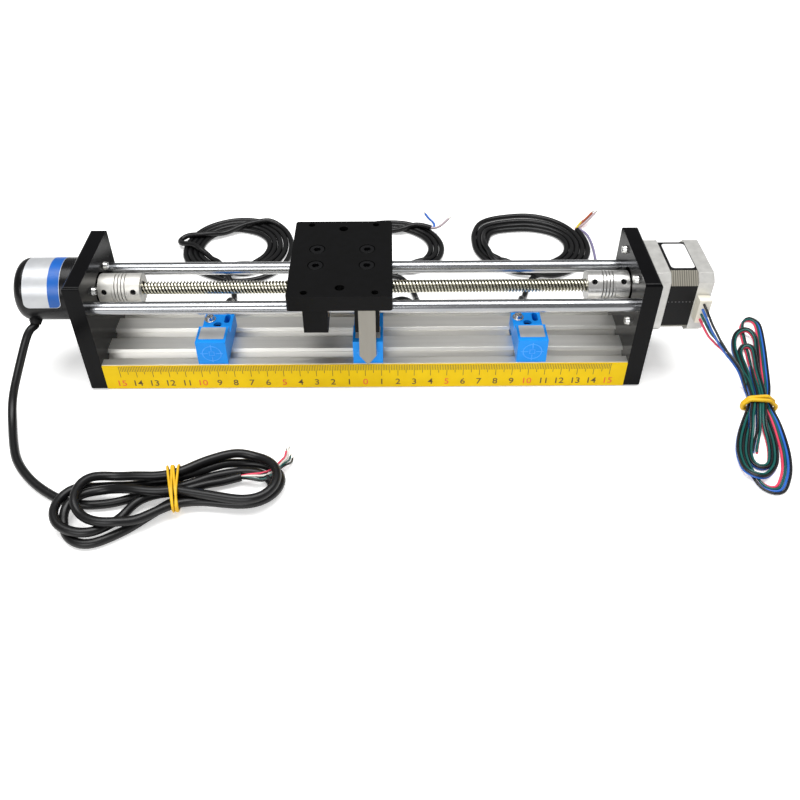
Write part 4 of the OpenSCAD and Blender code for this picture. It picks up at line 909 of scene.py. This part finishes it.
# The first rows of a route hang from the sensor head, and the rest lead down to the floor. Rows of a
# lead or a tail are x, y, order; a turn is centre x, y and radius x, y, and passes into the next one
# within its last part.
sensorCables = {"diameter": 4.0, "lift": 2.1, "perTurn": 22, "swap": 0.26, "hanging": 10,
    "joinsFrom": 42, "coilFrom": 47, "landedFrom": 52, "nearFloor": 2.6,
    "settle": {"rounds": 420, "gap": 4.12, "apart": 13, "push": 0.7, "smooth": 0.6,
               "pull": (0.015, 0.015, 0.012), "level": True, "easing": 0, "endGap": 4}, "cables": {
    "left": {"route": [
        (-92, 10.5, 25.5), (-92, 13.5, 25.5), (-92, 17.8, 24.6), (-91.8, 22.5, 23), (-91.5, 27.5, 22.2),
        (-91.2, 32, 21.2), (-91, 35.8, 18), (-91, 38.3, 13.6), (-91.2, 41, 9), (-91.7, 44.8, 5),
        (-92.6, 50, 2.6), (-93.8, 57, 2.1), (-95.6, 66, 2.1), (-98.2, 75, 2.1), (-102.5, 84, 2.1)],
        "lead": [
            (-107.5, 92.5, 6), (-114, 101, 6), (-122, 109.8, 6), (-130.6, 118, 6), (-138, 124, 6),
            (-143, 125, 6), (-146, 129.6, 6), (-143.4, 134.2, 6), (-137, 135, 6), (-128.5, 136, 6),
            (-119, 139.2, 6), (-109, 144, 6), (-99, 149.6, 6), (-90, 153.4, 6), (-81, 154.6, 6),
            (-72, 151, 6), (-65.5, 144, 3), (-61.5, 134.5, 0.2), (-59.6, 123.5, 0.2), (-60.4, 110.5, 0.2),
            (-64, 98.5, 0.2), (-71, 88.5, 0.2), (-81, 82, 0.3), (-92, 79.5, 0.5), (-103.5, 80.5, 0.8)],
        "way": -1, "start": -112, "turns": [
            (-100.6, 123, 36.5, 39), (-102.7, 122.8, 30.2, 30.8), (-101.7, 122.9, 33.3, 34.9),
            (-103.4, 122.2, 27.4, 25.2)], "count": 3.84, "bulge": (0, 0),
        "tail": [(-91.5, 97, 0.05), (-97.5, 94.4, 0.05), (-103, 93.4, 0.05)], "joins": 6},
    "middle": {"route": [
        (2, 10.5, 25.5), (2, 13.5, 25.5), (4, 17.8, 24.4), (8, 22, 22.9), (13, 25.8, 22.2),
        (18.5, 29.5, 22), (23.5, 33, 20.6), (27.4, 36.2, 17), (30.2, 39, 12.4), (32.4, 42.4, 7.6),
        (33.7, 47.5, 3.8), (33.9, 54, 2.2), (32.4, 63, 2.1), (28.8, 73, 2.1), (22, 83, 2.1)],
        "lead": [(12, 86.6, 0.6)],
        "way": -1, "start": -103, "turns": [
            (16, 120.5, 39, 36.5), (14.8, 120.6, 31.8, 28.2), (14.9, 120.5, 35.9, 32.5),
            (15, 120.7, 28.5, 24)], "count": 3.48, "bulge": (0, 0),
        "tail": [(25, 144.5, 6), (33.5, 147.3, 6), (41, 146.4, 6), (47, 143.4, 6)], "joins": 0},
    "right": {"route": [
        (101, 10.5, 25.5), (101, 13.5, 25.5), (101.2, 17.8, 24.6), (101.6, 22.5, 23),
        (102.2, 27.5, 22.2), (102.8, 32, 21.2), (103.4, 35.8, 18), (104, 38.3, 13.6), (104.8, 41, 9),
        (106, 44.8, 5), (107.6, 50, 2.6), (109.6, 57, 2.1), (112.4, 66, 2.1), (116, 75, 2.1),
        (121.5, 84, 2.1)],
        "lead": [],
        "way": 1, "start": -88, "turns": [
            (122, 125.5, 40, 40.5), (120, 122, 32, 24.5), (121.2, 123.5, 36.8, 34.5),
            (121.5, 122.7, 33, 29.2), (124, 125, 42.5, 41.5)], "count": 4.26, "bulge": (140, 0.13),
        "tail": [(165.8, 131, 6), (164.6, 138.5, 6), (162.6, 145, 6)], "joins": 0}},
    "wireWidth": 1.9, "wires": {
        "left": {},
        "middle": {"blue": [(2, 0.4, 0), (2.5, 4, 1), (-1, 9, 2.5), (-4, 14, 4)],
                   "grey": [(2, -0.4, 0), (6, 0.5, 0.5), (10, 4, 1.5), (14, 8, 3)]},
        "right": {"brown": [(0.2, 2, 0.4), (2.6, 5, 1.2), (7.5, 9.5, 3), (14, 16, 5.5)],
                  "pink": [(-0.6, 2, -0.2), (2.5, 3.6, 0.2), (8.5, 8.8, 1.4), (15.5, 16, 4)],
                  "grey": [(0.6, 2, 0.1), (4.0, 4.6, 0.8), (9.0, 8.4, 2.6), (16.6, 16.4, 5)],
                  "yellow": [(0.2, 1.6, 0.6), (2.0, 4.4, 1.4), (4.6, 7.6, 2.2)],
                  # the lilac strand at this cable's end is painted shadow, a shadow drawn as a thin wire
                  "lilacShadow": [(0.8, 1.6, 0), (5, -1, -1), (7.8, -10, -2), (8.2, -24, -2), (7, -40, -1.8)]}}}


def coilRows(s, cable):
    rows = []
    turns = np.array(cable["turns"] + cable["turns"][-1:], float)
    for k in range(1, round(cable["count"] * s["perTurn"]) + 1):
        u = k / s["perTurn"]
        i = int(u)
        f = min(max((u - i - 1 + s["swap"]) / s["swap"], 0), 1)
        f = f * f * (3 - 2 * f)
        cx, cy, rx, ry = (1 - f) * turns[i] + f * turns[i + 1]
        a = cable["start"] + cable["way"] * 360 * u
        away = (a - cable["bulge"][0] + 180) % 360 - 180
        grow = 1 + cable["bulge"][1] * math.exp(-(away / 22) ** 2)
        a = math.radians(a)
        rows.append((cx + rx * grow * math.cos(a), cy + ry * grow * math.sin(a), s["lift"], 1 + u))
    return rows


def coilLine(s, cable):  # the coil as settled rows
    rows = [(x, y, z, cable["joins"] * (y > s["joinsFrom"])) for x, y, z in cable["route"]]
    rows += flatRows(cable["lead"], s["lift"]) + coilRows(s, cable) + flatRows(cable["tail"], s["lift"])
    line = smoothThrough(rows, step)
    line[:, 2] = np.maximum(line[:, 2], s["lift"])
    line = layDown([line], [s["diameter"] / 2], step)[0]
    goal = line * (1, 1, 0) + (0, 0, s["lift"])
    begin = int(np.argmax(line[:, 1] > s["coilFrom"]))
    landed = int(np.argmax((line[:, 2] < s["nearFloor"]) | (line[:, 1] > s["landedFrom"])))
    return settledRows(line, goal, landed, begin, s["lift"], s["settle"])


def makeSensorCables(s):
    for side, cable in s["cables"].items():
        line = smoothThrough(cable["route"][:s["hanging"]] + coilLine(s, cable), step)
        line[:, 2] = np.maximum(line[:, 2], s["lift"])
        tails = []
        for colour, way in s["wires"][side].items():
            rows = line[-1] + np.array([(0, 0, 0)] + way) * (1, 1, 1)
            rows[:, 2] = np.maximum(rows[:, 2], s["wireWidth"] / 2 + 0.05)
            wire = smoothThrough(rows, 1.0)
            tails += wireTail(f"sensor_wire_{side}_{colour}", wire, s["wireWidth"], colour)
        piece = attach(cordPiece("sensor_cable_" + side, line, s["diameter"], cablePvc), "frame")
        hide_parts("sensor_lead_" + side, "sensor_coil_" + side)
        print("sensor cable", side, round(lengthOf(line), 3), "m, highest", round(line[20:, 2].max(), 1))


makeSensorCables(sensorCables)

# ---- Elastic bands round the tied cords ----

bands = {"encoder_band": {"place": (-100.5, -116), "angle": 8, "reach": 17, "tube": 1.4,
                          "along": [-2.2, -0.9, 0.6, 1.9], "tilt": [-1.2, -0.4, -0.9, 0.3]},
         "motor_band": {"place": (237.4, -50.4), "angle": 90, "reach": 12, "tube": 2.4,
                        "along": [-1.5, 1.3], "tilt": [0.5, -0.5]}}


def hullOf(points):  # corners of the convex outline, in order
    p = sorted(map(tuple, points))

    def half(seq):
        out = []
        for q in seq:
            while len(out) > 1 and ((out[-1][0] - out[-2][0]) * (q[1] - out[-2][1]) -
                                    (out[-1][1] - out[-2][1]) * (q[0] - out[-2][0])) <= 0:
                out.pop()
            out.append(q)
        return out[:-1]
    return np.array(half(p) + half(p[::-1]))


def bundleOutline(lines, radii, s):  # the outline of all strands where the band crosses them
    a = math.radians(s["angle"])
    way, side = np.array([math.cos(a), math.sin(a)]), np.array([-math.sin(a), math.cos(a)])
    ring = np.linspace(0, 2 * math.pi, 24, endpoint=False)
    found = []
    for line, r in zip(lines, radii):
        off = line[:, :2] - np.array(s["place"])
        along, across = off @ way, off @ side
        for k in np.nonzero((abs(along) < 4.0) & (abs(across) < s["reach"]))[0]:
            found += [(across[k] + (r + s["tube"] / 2) * math.cos(t),
                       line[k][2] + (r + s["tube"] / 2) * math.sin(t)) for t in ring]
    corners = hullOf(found)
    return way, side, evenly(np.vstack([corners, corners[:1]]), 0.8)[:-1]


def makeBand(name, lines, radii, s):
    way, side, outline = bundleOutline(lines, radii, s)
    points, faces = [], []
    n, m = len(outline), 8
    middle = outline.mean(axis=0)
    for along, tilt in zip(s["along"], s["tilt"]):
        first = len(points)
        for k in range(n):
            ahead = outline[(k + 1) % n] - outline[k - 1]
            out = np.array([ahead[1], -ahead[0]]) / np.linalg.norm(ahead)
            lean = along + tilt * (outline[k][0] - middle[0]) / s["reach"] * 2
            for q in range(m):
                t = 2 * math.pi * q / m
                u, z = outline[k] + out * math.cos(t) * s["tube"] / 2
                v = lean + math.sin(t) * s["tube"] / 2
                x, y = np.array(s["place"]) + side * u + way * v
                points.append((x * mm, y * mm, max(z, 0.05) * mm))
        faces += [(first + k * m + q, first + (k + 1) % n * m + q,
                   first + (k + 1) % n * m + (q + 1) % m, first + k * m + (q + 1) % m)
                  for k in range(n) for q in range(m)]
    piece = meshPiece(name + "_rubber", points, faces, bandRubber, "frame", 60)
    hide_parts(name)


makeBand("encoder_band", [encoderLine], [encoderCable["diameter"] / 2], bands["encoder_band"])
makeBand("motor_band", motorLines, [motorWires["diameter"] / 2] * 4, bands["motor_band"])
print("bands made")
